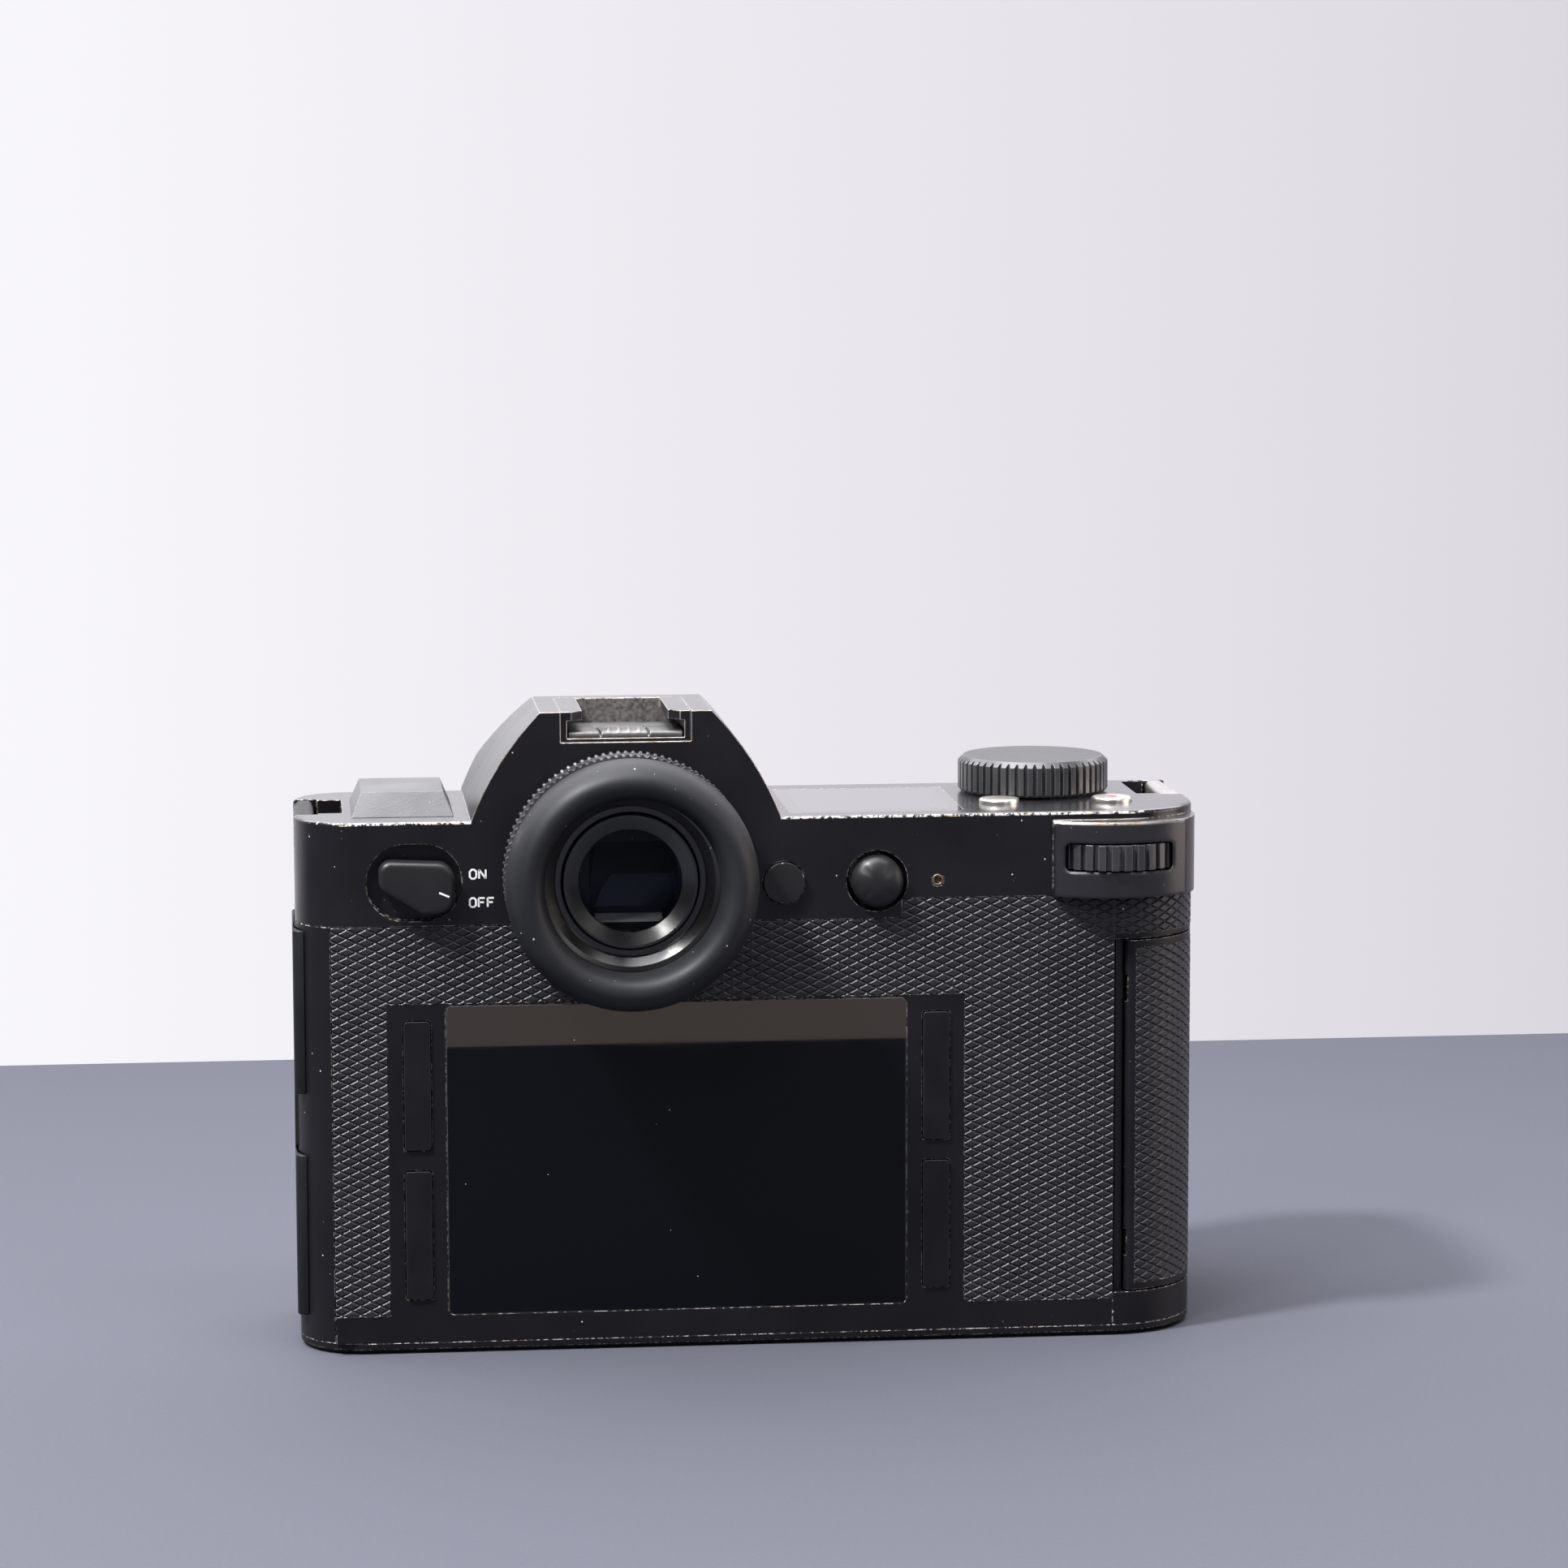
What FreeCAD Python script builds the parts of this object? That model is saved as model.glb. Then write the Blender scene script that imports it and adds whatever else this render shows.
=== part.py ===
import FreeCAD, Part
import math
import os
import Sketcher

# Camera body, in millimetres. +X is the grip side, +Y points at the subject, +Z is up.
# The origin is the mouth of the tripod thread, under the lens axis and halfway through the body.

os.makedirs("parts", exist_ok=True)
doc = FreeCAD.newDocument("camera")
sheet = doc.addObject("Spreadsheet::Sheet", "Sizes")

# Driving dimensions
DRIVING = {
    # Overall body
    "body_left": 53.0,
    "body_right": 94.0,
    "body_depth": 39.0,
    "shoulder_height": 86.7,
    "corner_left": 10.5,
    "corner_right": 14.5,
    "corner_front": 9.0,
    "wall": 1.6,
    "roof_wall": 2.0,
    "band_wall": 3.0,
    "base_thick": 1.8,
    "base_chamfer": 0.8,
    "deck_round": 0.6,
    "seam": 0.1,
    "slip": 0.3,
    "shaft_slip": 0.05,
    "seam_left": 69.7,
    "seam_right": 72.9,
    "seam_step": 44.6,
    "leather_deep": 0.5,
    "leather_proud": 0.1,
    "rail_top": 6.3,
    # Hump and accessory shoe
    "hump_rise": 26.2,
    "hump_foot": 24.9,
    "hump_crown": 13.8,
    "hump_flank": 51.6,
    "hump_nose_ahead": 2.5,
    "hump_brow_behind": 15.5,
    "lens_sunk": 4.2,
    "stick_box": 5.5,
    "release_arm": 4.7,
    "lever_reach": 6.2,
    "hump_drop_share": 0.665,
    "shoe_half": 10.46,
    "shoe_deep": 4.9,
    "shoe_long": 20.8,
    "shoe_side": 1.0,
    "shoe_lip_half": 6.9,
    "shoe_lip": 1.5,
    "shoe_flare": 1.8,
    "shoe_floor": 0.6,
    "spring_thick": 1.1,
    "spring_half": 9.1,
    # Eyepiece
    "eye_z": 77.8,
    "eye_bore": 15.1,
    "barrel_radius": 17.0,
    "barrel_long": 6.5,
    "cup_seat": 14.6,
    "cup_seat_long": 3.5,
    "ring_radius": 20.0,
    "ring_wide": 5.2,
    "cup_radius": 20.3,
    "cup_mouth": 13.8,
    "cup_long": 12.1,
    "eye_window": 8.2,
    "lens_radius": 10.2,
    "finder_half": 12.5,
    "finder_above_mount": 23.0,
    "finder_under_hump": 12.0,
    "finder_clear": 1.6,
    # Rear plate, screen and keys
    "plate_left": 47.4,
    "plate_right": 79.2,
    "plate_thick": 1.9,
    "frame_left": 38.7,
    "frame_right": 54.7,
    "frame_top": 57.3,
    "glass_left": 29.3,
    "glass_right": 45.2,
    "glass_low": 6.3,
    "glass_high": 56.9,
    "glass_thick": 1.0,
    "glass_ledge": 1.5,
    "panel_thick": 3.7,
    "key_wide": 4.2,
    "key_tall": 20.9,
    "key_left_x": 33.9,
    "key_right_x": 50.0,
    "key_low_z": 19.5,
    "key_high_z": 43.95,
    "key_proud": 0.35,
    "key_flange": 0.6,
    # Controls on the rear band
    "control_z": 75.95,
    "lever_x": 33.5,
    "lever_z": 76.7,
    "lever_proud": 2.7,
    "lever_dish": 1.5,
    "lever_dish_radius": 6.2,
    "lever_shaft": 2.0,
    "finder_key_x": 25.33,
    "finder_key_radius": 3.3,
    "finder_key_travel": 0.8,
    "stick_x": 40.4,
    "stick_hole": 4.95,
    "stick_radius": 4.2,
    "stick_pivot": 5.9,
    "lamp_x": 50.24,
    "lamp_radius": 0.95,
    "board_depth": 9.3,
    "flange_grow": 0.8,
    "flange_thick": 0.8,
    # Wheels
    "wheel_x": 79.6,
    "wheel_radius": 11.0,
    "wheel_proud": 0.95,
    "wheel_low": 77.5,
    "wheel_thick": 4.1,
    "wheel_teeth": 32,
    "wheel_axle": 1.5,
    "wheel_slot_half": 8.8,
    "bulge_left": 69.1,
    "bulge_right": 91.0,
    "bulge_low": 73.0,
    "bulge_high": 85.3,
    "bulge_radius": 19.0,
    "bulge_proud": 3.8,
    # Top deck
    "dial_x": 69.75,
    "dial_ahead": 20.75,
    "dial_radius": 12.47,
    "dial_high": 5.8,
    "dial_teeth": 52,
    "dial_shaft": 3.0,
    "deck_key_radius": 3.3,
    "deck_key_proud": 0.8,
    "deck_key_left_x": 62.0,
    "deck_key_right_x": 80.6,
    "deck_key_ahead": 6.05,
    "display_left": 26.5,
    "display_right": 55.0,
    "display_back": 15.7,
    "display_front": 14.0,
    "display_thick": 0.8,
    "antenna_left": 43.8,
    "antenna_right": 27.4,
    "antenna_back": 13.6,
    "antenna_front": 8.6,
    "antenna_high": 3.8,
    "antenna_slope": 1.6,
    "antenna_slope_back": 2.6,
    # Strap slots
    "strap_bar": 3.4,
    "strap_slot": 4.4,
    "strap_long": 16.5,
    "strap_left_y": 7.3,
    "strap_right_y": 1.5,
    "strap_deep": 8.0,
    "bar_high": 4.2,
    "bar_seat": 1.2,
    "bar_round": 1.2,
    # Lens mount and light path
    "mount_z": 44.0,
    "mount_radius": 34.5,
    "mount_thick": 3.0,
    "throat": 27.5,
    "throat_lip": 2.2,
    "lug_groove": 29.3,
    "lug_gap": 13.0,
    "screw_orbit": 32.0,
    "screw_head": 1.6,
    "screw_thick": 0.5,
    "flange_distance": 18.5,
    "baffle_outer": 29.8,
    "baffle_wall": 1.3,
    "baffle_depth": 11.5,
    "gate_half_wide": 23.0,
    "gate_half_tall": 17.6,
    "pin_orbit": 31.4,
    "pin_angle": 32.0,
    "lock_pin": 1.2,
    "release_x": 43.5,
    "release_radius": 4.6,
    "release_travel": 2.0,
    "release_proud": 4.1,
    # Grip
    "grip_reach": 18.5,
    "grip_left": 58.0,
    "grip_nose_left": 71.0,
    "grip_nose_right": 83.0,
    "grip_flank": 9.0,
    "grip_top": 82.2,
    "shutter_x": 76.0,
    "shutter_y": 27.0,
    "shutter_radius": 5.4,
    "shutter_proud": 1.6,
    # Card door on the rear right corner
    "door_low": 7.5,
    "door_high": 65.4,
    "door_start": 81.1,
    "door_front": 3.0,
    "door_thick": 1.5,
    "door_rim": 1.2,
    "barrel_round": 1.2,
    "hinge_pin": 0.4,
    "eye_round": 0.8,
    "carrier_thick": 3.8,
    "carrier_inset": 6.0,
    "carrier_reach": 9.0,
    "card_bay_wall": 0.8,
    "card_thick": 3.95,
    "card_tall": 30.2,
    "card_low": 20.0,
    "card_y": 4.5,
    # Battery, its bay and its hatch
    "battery_wide": 22.4,
    "battery_deep": 26.4,
    "battery_tall": 59.6,
    "battery_x": 78.2,
    "battery_y": 17.8,
    "battery_low": 4.3,
    "bay_wall": 0.8,
    "hatch_margin": 1.0,
    # Ports on the left end
    "port_low": 5.5,
    "port_split_low": 32.0,
    "port_split_high": 42.0,
    "port_high": 68.8,
    "port_half": 9.4,
    "cover_thick": 1.7,
    "cover_proud": 0.5,
    "jack_radius": 1.75,
    # Inner works
    "board_thick": 1.5,
    "board_left": 44.0,
    "board_right": 41.0,
    "board_low": 10.0,
    "board_high": 62.0,
    "board_back": 5.7,
    "chip_left": 20.0,
    "chip_right": 2.0,
    "chip_low": 30.0,
    "chip_high": 50.0,
    "memory_left": 12.0,
    "memory_right": 26.0,
    "memory_low": 34.0,
    "memory_high": 48.0,
    "chip_thick": 1.3,
    "control_left": 19.0,
    "control_right": 57.0,
    "sensor_half_wide": 26.0,
    "sensor_half_tall": 20.5,
    "sensor_thick": 2.5,
    "pane_thick": 0.8,
    "carrier_half": 31.0,
    "carrier_below": 26.0,
    "carrier_above": 21.5,
    "chassis_back": 4.0,
    "chassis_thick": 1.5,
    "post_radius": 2.0,
    "post_left": 38.0,
    "post_right": 36.0,
    "post_low": 16.0,
    "post_high": 56.0,
    "shutter_half": 29.5,
    "shutter_below": 36.0,
    "shutter_above": 21.8,
    "blade_half": 25.1,
    "blade_thick": 0.35,
    "blade_gap": 0.3,
    "blade_tall": 13.2,
    "tripod_radius": 3.175,
    "tripod_deep": 6.5,
    "tripod_disc": 8.5,
}


class Size:
    """A length that keeps both its number and the sheet expression that gives it."""

    def __init__(self, text, value):
        self.text = text
        self.value = value

    @staticmethod
    def of(item):
        return item if isinstance(item, Size) else Size(repr(item), float(item))

    def join(self, other, sign, result):
        return Size("(%s %s %s)" % (self.text, sign, Size.of(other).text), result)

    def __add__(self, other):
        return self.join(other, "+", self.value + Size.of(other).value)

    def __radd__(self, other):
        return Size.of(other) + self

    def __sub__(self, other):
        return self.join(other, "-", self.value - Size.of(other).value)

    def __rsub__(self, other):
        return Size.of(other) - self

    def __mul__(self, other):
        return self.join(other, "*", self.value * Size.of(other).value)

    def __rmul__(self, other):
        return Size.of(other) * self

    def __truediv__(self, other):
        return self.join(other, "/", self.value / Size.of(other).value)

    def __neg__(self):
        return Size("(0 - %s)" % self.text, -self.value)


def root(item):
    return Size("sqrt(%s)" % item.text, math.sqrt(item.value))


def cosine(degrees):
    return Size("cos(%s * 1 deg)" % degrees.text, math.cos(math.radians(degrees.value)))


def sine(degrees):
    return Size("sin(%s * 1 deg)" % degrees.text, math.sin(math.radians(degrees.value)))


class Driving:
    """Every driving dimension by name, each one a cell of the sheet."""


d = Driving()
for row, (alias, number) in enumerate(DRIVING.items(), 1):
    sheet.set("A%d" % row, alias)
    sheet.set("B%d" % row, str(number))
    sheet.setAlias("B%d" % row, alias)
    setattr(d, alias, Size("Sizes." + alias, float(number)))
doc.recompute()

zero = Size("0", 0.0)
NODES = []


# Sketch and feature helpers


def new_body(label):
    body = doc.addObject("PartDesign::Body", label)
    body.Label = label
    body.AllowCompound = True
    NODES.append(body)
    return body


PLANE_OF_AXIS = {"x": "YZ_Plane", "y": "XZ_Plane", "z": "XY_Plane"}


def new_sketch(body, axis, place):
    """A sketch square to the axis. Square to y, its own normal points to -Y."""
    sketch = body.newObject("Sketcher::SketchObject", body.Label + "_sketch")
    plane = [item for item in body.Origin.OriginFeatures if item.Role == PLANE_OF_AXIS[axis]][0]
    sketch.AttachmentSupport = [(plane, "")]
    sketch.MapMode = "FlatFace"
    offset = -Size.of(place) if axis == "y" else Size.of(place)
    sketch.setExpression("AttachmentOffset.Base.z", offset.text)
    return sketch


def bind(sketch, constraint, size):
    index = sketch.addConstraint(constraint)
    sketch.setExpression("Constraints[%d]" % index, size.text)


def pin_point(sketch, edge, end, point):
    """Hold one end of an edge at its place."""
    for kind, size in (("DistanceX", point[0]), ("DistanceY", point[1])):
        bind(sketch, Sketcher.Constraint(kind, -1, 1, edge, end, size.value), size)


def arc_between(start, end, radius, turns_left):
    """A circle arc of this radius from start to end, bending to the left or the right."""
    middle = (start + end) * 0.5
    chord = end - start
    height = math.sqrt(max(radius ** 2 - (chord.Length / 2) ** 2, 0.0))
    side = FreeCAD.Vector(-chord.y, chord.x, 0).normalize()
    centre = middle + side * (height if turns_left else -height)
    circle = Part.Circle(centre, FreeCAD.Vector(0, 0, 1), radius)
    first, last = (start, end) if turns_left else (end, start)
    angles = [math.atan2(p.y - centre.y, p.x - centre.x) for p in (first, last)]
    return Part.ArcOfCircle(circle, angles[0], angles[1])


def outline(points, arcs=None):
    """A closed outline through the points. arcs gives {edge: (radius, turns_left)}."""
    places = [(Size.of(x), Size.of(y)) for x, y in points]
    bends = arcs or {}

    def draw(sketch):
        count = len(places)
        vectors = [FreeCAD.Vector(x.value, y.value, 0) for x, y in places]
        first = sketch.GeometryCount
        ends = []
        for index in range(count):
            start = vectors[index]
            end = vectors[(index + 1) % count]
            if index in bends:
                radius, turns_left = bends[index]
                radius = Size.of(radius)
                sketch.addGeometry(arc_between(start, end, radius.value, turns_left))
                ends.append((1, 2) if turns_left else (2, 1))
            else:
                sketch.addGeometry(Part.LineSegment(start, end))
                ends.append((1, 2))
        for index in range(count):
            following = (index + 1) % count
            sketch.addConstraint(Sketcher.Constraint(
                "Coincident", first + index, ends[index][1], first + following, ends[following][0]))
        for index in range(count):
            pin_point(sketch, first + index, ends[index][0], places[index])
        for index, (radius, turns_left) in bends.items():
            size = Size.of(radius)
            bind(sketch, Sketcher.Constraint("Radius", first + index, size.value), size)

    return draw


def rectangle(x0, x1, y0, y1, radius=None):
    """A rectangle, with rounded corners where a radius is given."""
    if radius is None:
        return outline([(x0, y0), (x1, y0), (x1, y1), (x0, y1)])
    x0, x1, y0, y1, radius = (Size.of(item) for item in (x0, x1, y0, y1, radius))
    points = [
        (x0 + radius, y0), (x1 - radius, y0), (x1, y0 + radius), (x1, y1 - radius),
        (x1 - radius, y1), (x0 + radius, y1), (x0, y1 - radius), (x0, y0 + radius),
    ]
    return outline(points, {1: (radius, True), 3: (radius, True), 5: (radius, True), 7: (radius, True)})


def circle(x, y, radius):
    """A full circle about a point."""
    x, y, radius = (Size.of(item) for item in (x, y, radius))

    def draw(sketch):
        centre = FreeCAD.Vector(x.value, y.value, 0)
        index = sketch.addGeometry(Part.Circle(centre, FreeCAD.Vector(0, 0, 1), radius.value))
        pin_point(sketch, index, 3, (x, y))
        bind(sketch, Sketcher.Constraint("Radius", index, radius.value), radius)

    return draw


def several(*drawings):
    """More than one outline in one sketch."""

    def draw(sketch):
        for drawing in drawings:
            drawing(sketch)

    return draw


def add(body, axis, low, high, drawing):
    """Material between two places along an axis."""
    low, high = Size.of(low), Size.of(high)
    sketch = new_sketch(body, axis, high if axis == "y" else low)
    drawing(sketch)
    pad = body.newObject("PartDesign::Pad", body.Label + "_pad")
    pad.Profile = sketch
    pad.setExpression("Length", (high - low).text)
    pad.Refine = False
    return pad


def cut(body, axis, low, high, drawing):
    """A hollow between two places along an axis."""
    low, high = Size.of(low), Size.of(high)
    sketch = new_sketch(body, axis, low if axis == "y" else high)
    drawing(sketch)
    pocket = body.newObject("PartDesign::Pocket", body.Label + "_pocket")
    pocket.Profile = sketch
    pocket.setExpression("Length", (high - low).text)
    pocket.Refine = False
    return pocket


def turn(body, axis, points, arcs=None, kind="Revolution"):
    """Material, or a groove, turned about the body's own z or y axis. Points are (radius, place)."""
    sketch = new_sketch(body, "y" if axis == "z" else "z", zero)
    outline(points, arcs)(sketch)
    feature = body.newObject("PartDesign::" + kind, body.Label + "_turned")
    feature.Profile = sketch
    feature.ReferenceAxis = (sketch, ["V_Axis"])
    feature.Angle = 360.0
    return feature


def around(body, original, count, axis="Z_Axis"):
    """Copies of a feature evenly round the body's own axis."""
    pattern = body.newObject("PartDesign::PolarPattern", body.Label + "_pattern")
    pattern.Originals = [original]
    line = [item for item in body.Origin.OriginFeatures if item.Role == axis][0]
    pattern.Axis = (line, [""])
    pattern.Angle = 360.0
    pattern.setExpression("Occurrences", Size.of(count).text)
    body.Tip = pattern
    return pattern


def dress_edges(body, kind, size, chosen):
    """A fillet or a chamfer on the edges for which chosen(edge) is true."""
    doc.recompute()
    base = body.Tip
    names = ["Edge%d" % number for number, edge in enumerate(base.Shape.Edges, 1) if chosen(edge)]
    if not names:
        raise ValueError("no edge to dress on " + body.Label)
    feature = body.newObject("PartDesign::" + kind, body.Label + "_" + kind.lower())
    feature.Base = (base, names)
    feature.setExpression("Radius" if kind == "Fillet" else "Size", Size.of(size).text)
    body.Tip = feature
    return feature


def place(body, x=zero, y=zero, z=zero):
    """Where the body's own origin lies."""
    for letter, size in (("x", x), ("y", y), ("z", z)):
        body.setExpression("Placement.Base." + letter, Size.of(size).text)
    return body


def level(edge, axis, value, tolerance=0.01):
    """Whether the whole edge lies at one place along an axis."""
    box = edge.BoundBox
    low, high = {"x": (box.XMin, box.XMax), "y": (box.YMin, box.YMax), "z": (box.ZMin, box.ZMax)}[axis]
    return abs(low - value) < tolerance and abs(high - value) < tolerance


# Shared places

back = -d.body_depth / 2
front = d.body_depth / 2
deck = d.shoulder_height
hump_top = d.eye_z + d.hump_rise
hump_drop = d.hump_drop_share * (hump_top - deck)
flange = front + d.mount_thick
sensor_plane = flange - d.flange_distance
baffle_back = front - d.baffle_depth
finder_low = d.mount_z + d.finder_above_mount
finder_high = hump_top - d.finder_under_hump
roof = deck - d.roof_wall
band_inside = back + d.band_wall
plate_inside = back + d.plate_thick
grip_front = front + d.grip_reach
grip_roof = d.grip_top - d.roof_wall
corner_x = d.body_right - d.corner_right
corner_y = back + d.corner_right
wheel_y = back - d.bulge_proud - d.wheel_proud + d.wheel_radius
dial_y = wheel_y + d.dial_ahead
deck_key_y = wheel_y + d.deck_key_ahead
hump_brow = front - d.hump_brow_behind
hump_nose = front + d.hump_nose_ahead
pin_x = d.pin_orbit * cosine(d.pin_angle)
pin_z = d.mount_z - d.pin_orbit * sine(d.pin_angle)
hinge_x = d.door_start + d.barrel_round
strap_left_in = -d.body_left + d.strap_bar + d.strap_slot
strap_right_in = d.body_right - d.strap_bar - d.strap_slot
hatch_left = d.battery_x - d.battery_wide / 2 - d.hatch_margin
hatch_right = d.battery_x + d.battery_wide / 2 + d.hatch_margin
hatch_back = d.battery_y - d.battery_deep / 2 - d.hatch_margin
hatch_front = d.battery_y + d.battery_deep / 2 + d.hatch_margin
hatch_radius = d.base_thick / 2 - d.seam
hatch_axis_x = hatch_left + d.slip + hatch_radius
hatch_axis_z = d.base_thick / 2


def corner_back(inset, x):
    """Where the rounded rear right corner, drawn in by inset, lies at this x."""
    radius = d.corner_right - inset
    return corner_y - root(radius * radius - (x - corner_x) * (x - corner_x))


hinge_y = corner_back(zero, hinge_x) + d.barrel_round


def plan(inset=zero):
    """The body seen from above, drawn in by inset."""
    inset = Size.of(inset)
    x0, x1 = -d.body_left + inset, d.body_right - inset
    y0, y1 = back + inset, front - inset
    points = [
        (-d.body_left + d.corner_left, y0), (corner_x, y0), (x1, corner_y), (x1, y1),
        (-d.body_left + d.corner_front, y1), (x0, front - d.corner_front), (x0, back + d.corner_left),
    ]
    bends = {
        1: (d.corner_right - inset, True),
        4: (d.corner_front - inset, True),
        6: (d.corner_left - inset, True),
    }
    return outline(points, bends)


def grip_run(grow):
    """The grip's outside from its right foot round the nose to its left foot."""
    nose = grip_front + grow
    right_round = d.body_right - d.grip_nose_right + grow
    left_round = d.grip_flank + grow
    points = [
        (d.body_right + grow, front), (d.body_right + grow, nose - right_round), (d.grip_nose_right, nose),
        (d.grip_nose_left, nose), (d.grip_nose_left - left_round, nose - left_round),
        (d.grip_left - grow, front),
    ]
    return points, right_round, left_round


def grip(grow=zero, foot=1.5):
    """The grip seen from above, grown by grow, with its foot inside the body."""
    grow = Size.of(grow)
    run, right_round, left_round = grip_run(grow)
    points = [(d.body_right + grow, front - foot)] + run[1:] + [(d.grip_left - grow, front - foot)]
    return outline(points, {1: (right_round, True), 3: (left_round, True)})


def grip_skin(inner, outer):
    """A band round the grip between two sizes of its outline."""
    outside, outer_right, outer_left = grip_run(Size.of(outer))
    inside, inner_right, inner_left = grip_run(Size.of(inner))
    bends = {
        1: (outer_right, True), 3: (outer_left, True),
        7: (inner_left, False), 9: (inner_right, False),
    }
    return outline(outside + inside[::-1], bends)


def corner_skin(inner, outer, start, end):
    """A band round the rear right corner, from start on the back to end on the side."""
    inner, outer, start, end = (Size.of(item) for item in (inner, outer, start, end))
    points = [
        (start, corner_back(outer, start)), (d.body_right - outer, corner_y), (d.body_right - outer, end),
        (d.body_right - inner, end), (d.body_right - inner, corner_y), (start, corner_back(inner, start)),
    ]
    return outline(points, {0: (d.corner_right - outer, True), 4: (d.corner_right - inner, False)})


def mount_circle(radius):
    return circle(zero, d.mount_z, radius)


def front_skin(ring_gap, top):
    """The flat of the front beside and under the lens mount."""
    radius = d.mount_radius + ring_gap
    rise = top - d.mount_z
    half = root(radius * radius - rise * rise)
    left = -d.body_left + d.corner_front
    right = d.grip_left - d.leather_deep
    points = [
        (left, d.rail_top), (right, d.rail_top), (right, top), (half, top),
        (zero, d.mount_z - radius), (-half, top), (left, top),
    ]
    return outline(points, {3: (radius, False), 4: (radius, False)})


def rear_skin(left, right, top_left, top_right):
    """The flat of the back round three sides of the screen frame."""
    return outline([
        (left, d.rail_top), (-d.frame_left, d.rail_top), (-d.frame_left, d.frame_top),
        (d.frame_right, d.frame_top), (d.frame_right, d.rail_top), (right, d.rail_top),
        (right, top_right), (d.seam_step, top_right), (d.seam_step, top_left), (left, top_left),
    ])


def rear_keys(grow):
    """The four long keys beside the screen, each grown by grow all round."""
    half_wide = d.key_wide / 2 + grow
    half_tall = d.key_tall / 2 + grow
    shapes = {}
    for side, x in (("left", -d.key_left_x), ("right", d.key_right_x)):
        for level_name, z in (("low", d.key_low_z), ("high", d.key_high_z)):
            shapes[side + "_" + level_name] = rectangle(
                x - half_wide, x + half_wide, z - half_tall, z + half_tall, 0.5)
    return shapes


# Covers and shells


def front_shell():
    body = new_body("front_shell")
    add(body, "z", d.base_thick, d.seam_right, plan())
    add(body, "z", d.base_thick, d.seam_right, grip())
    beyond = rectangle(-d.body_left - 1, d.seam_step, back - 1, front + 1)
    cut(body, "z", d.seam_left, d.seam_right + 1, beyond)
    cut(body, "z", d.base_thick, d.seam_right, plan(d.wall))
    cut(body, "z", d.base_thick, d.seam_right, grip(-d.wall, d.wall + 1))
    rear = rectangle(-d.plate_left - d.seam, d.plate_right, back - 1, back + d.wall + 1)
    cut(body, "z", d.base_thick, d.seam_right, rear)
    cut(body, "y", front - d.wall - 1, front + 1, mount_circle(d.baffle_outer + d.seam))
    corner = rectangle(d.plate_right - 1, d.body_right + 1, back - 1, d.door_front + d.slip)
    cut(body, "z", d.door_low - d.slip, d.door_high + d.slip, corner)
    ports = rectangle(-d.port_half, d.port_half, d.port_low, d.port_high)
    cut(body, "x", -d.body_left - 1, -d.body_left + d.wall + 1, ports)
    front_holes = several(
        circle(d.release_x, pin_z, d.lever_shaft + d.shaft_slip),
        circle(pin_x, pin_z, d.lock_pin + d.shaft_slip))
    cut(body, "y", front - d.wall - 1, front + 1, front_holes)
    # Shallow seats for the leather on the front, the grip and the right side
    cut(body, "y", front - d.leather_deep, front + 1, front_skin(d.slip, d.seam_left))
    cut(body, "z", d.rail_top, d.seam_right + 1, grip_skin(-d.leather_deep, 1.0))
    upper = corner_skin(d.leather_deep, -1.0, d.plate_right, front)
    cut(body, "z", d.door_high + d.door_rim, d.seam_right + 1, upper)
    side = rectangle(d.body_right - d.leather_deep, d.body_right + 1, d.door_front + d.door_rim, front)
    cut(body, "z", d.rail_top, d.door_high + d.door_rim, side)
    return body


def hump_profile(inset, foot, top):
    """The hump seen from behind, between two heights."""
    inset, foot, top = Size.of(inset), Size.of(foot), Size.of(top)
    half_foot = d.hump_foot - inset
    half_top = d.hump_crown - inset
    points = [(-half_foot, foot), (half_foot, foot), (half_foot, deck), (half_top, top),
              (-half_top, top), (-half_foot, deck)]
    return outline(points, {2: (d.hump_flank, True), 4: (d.hump_flank, True)})


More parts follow.
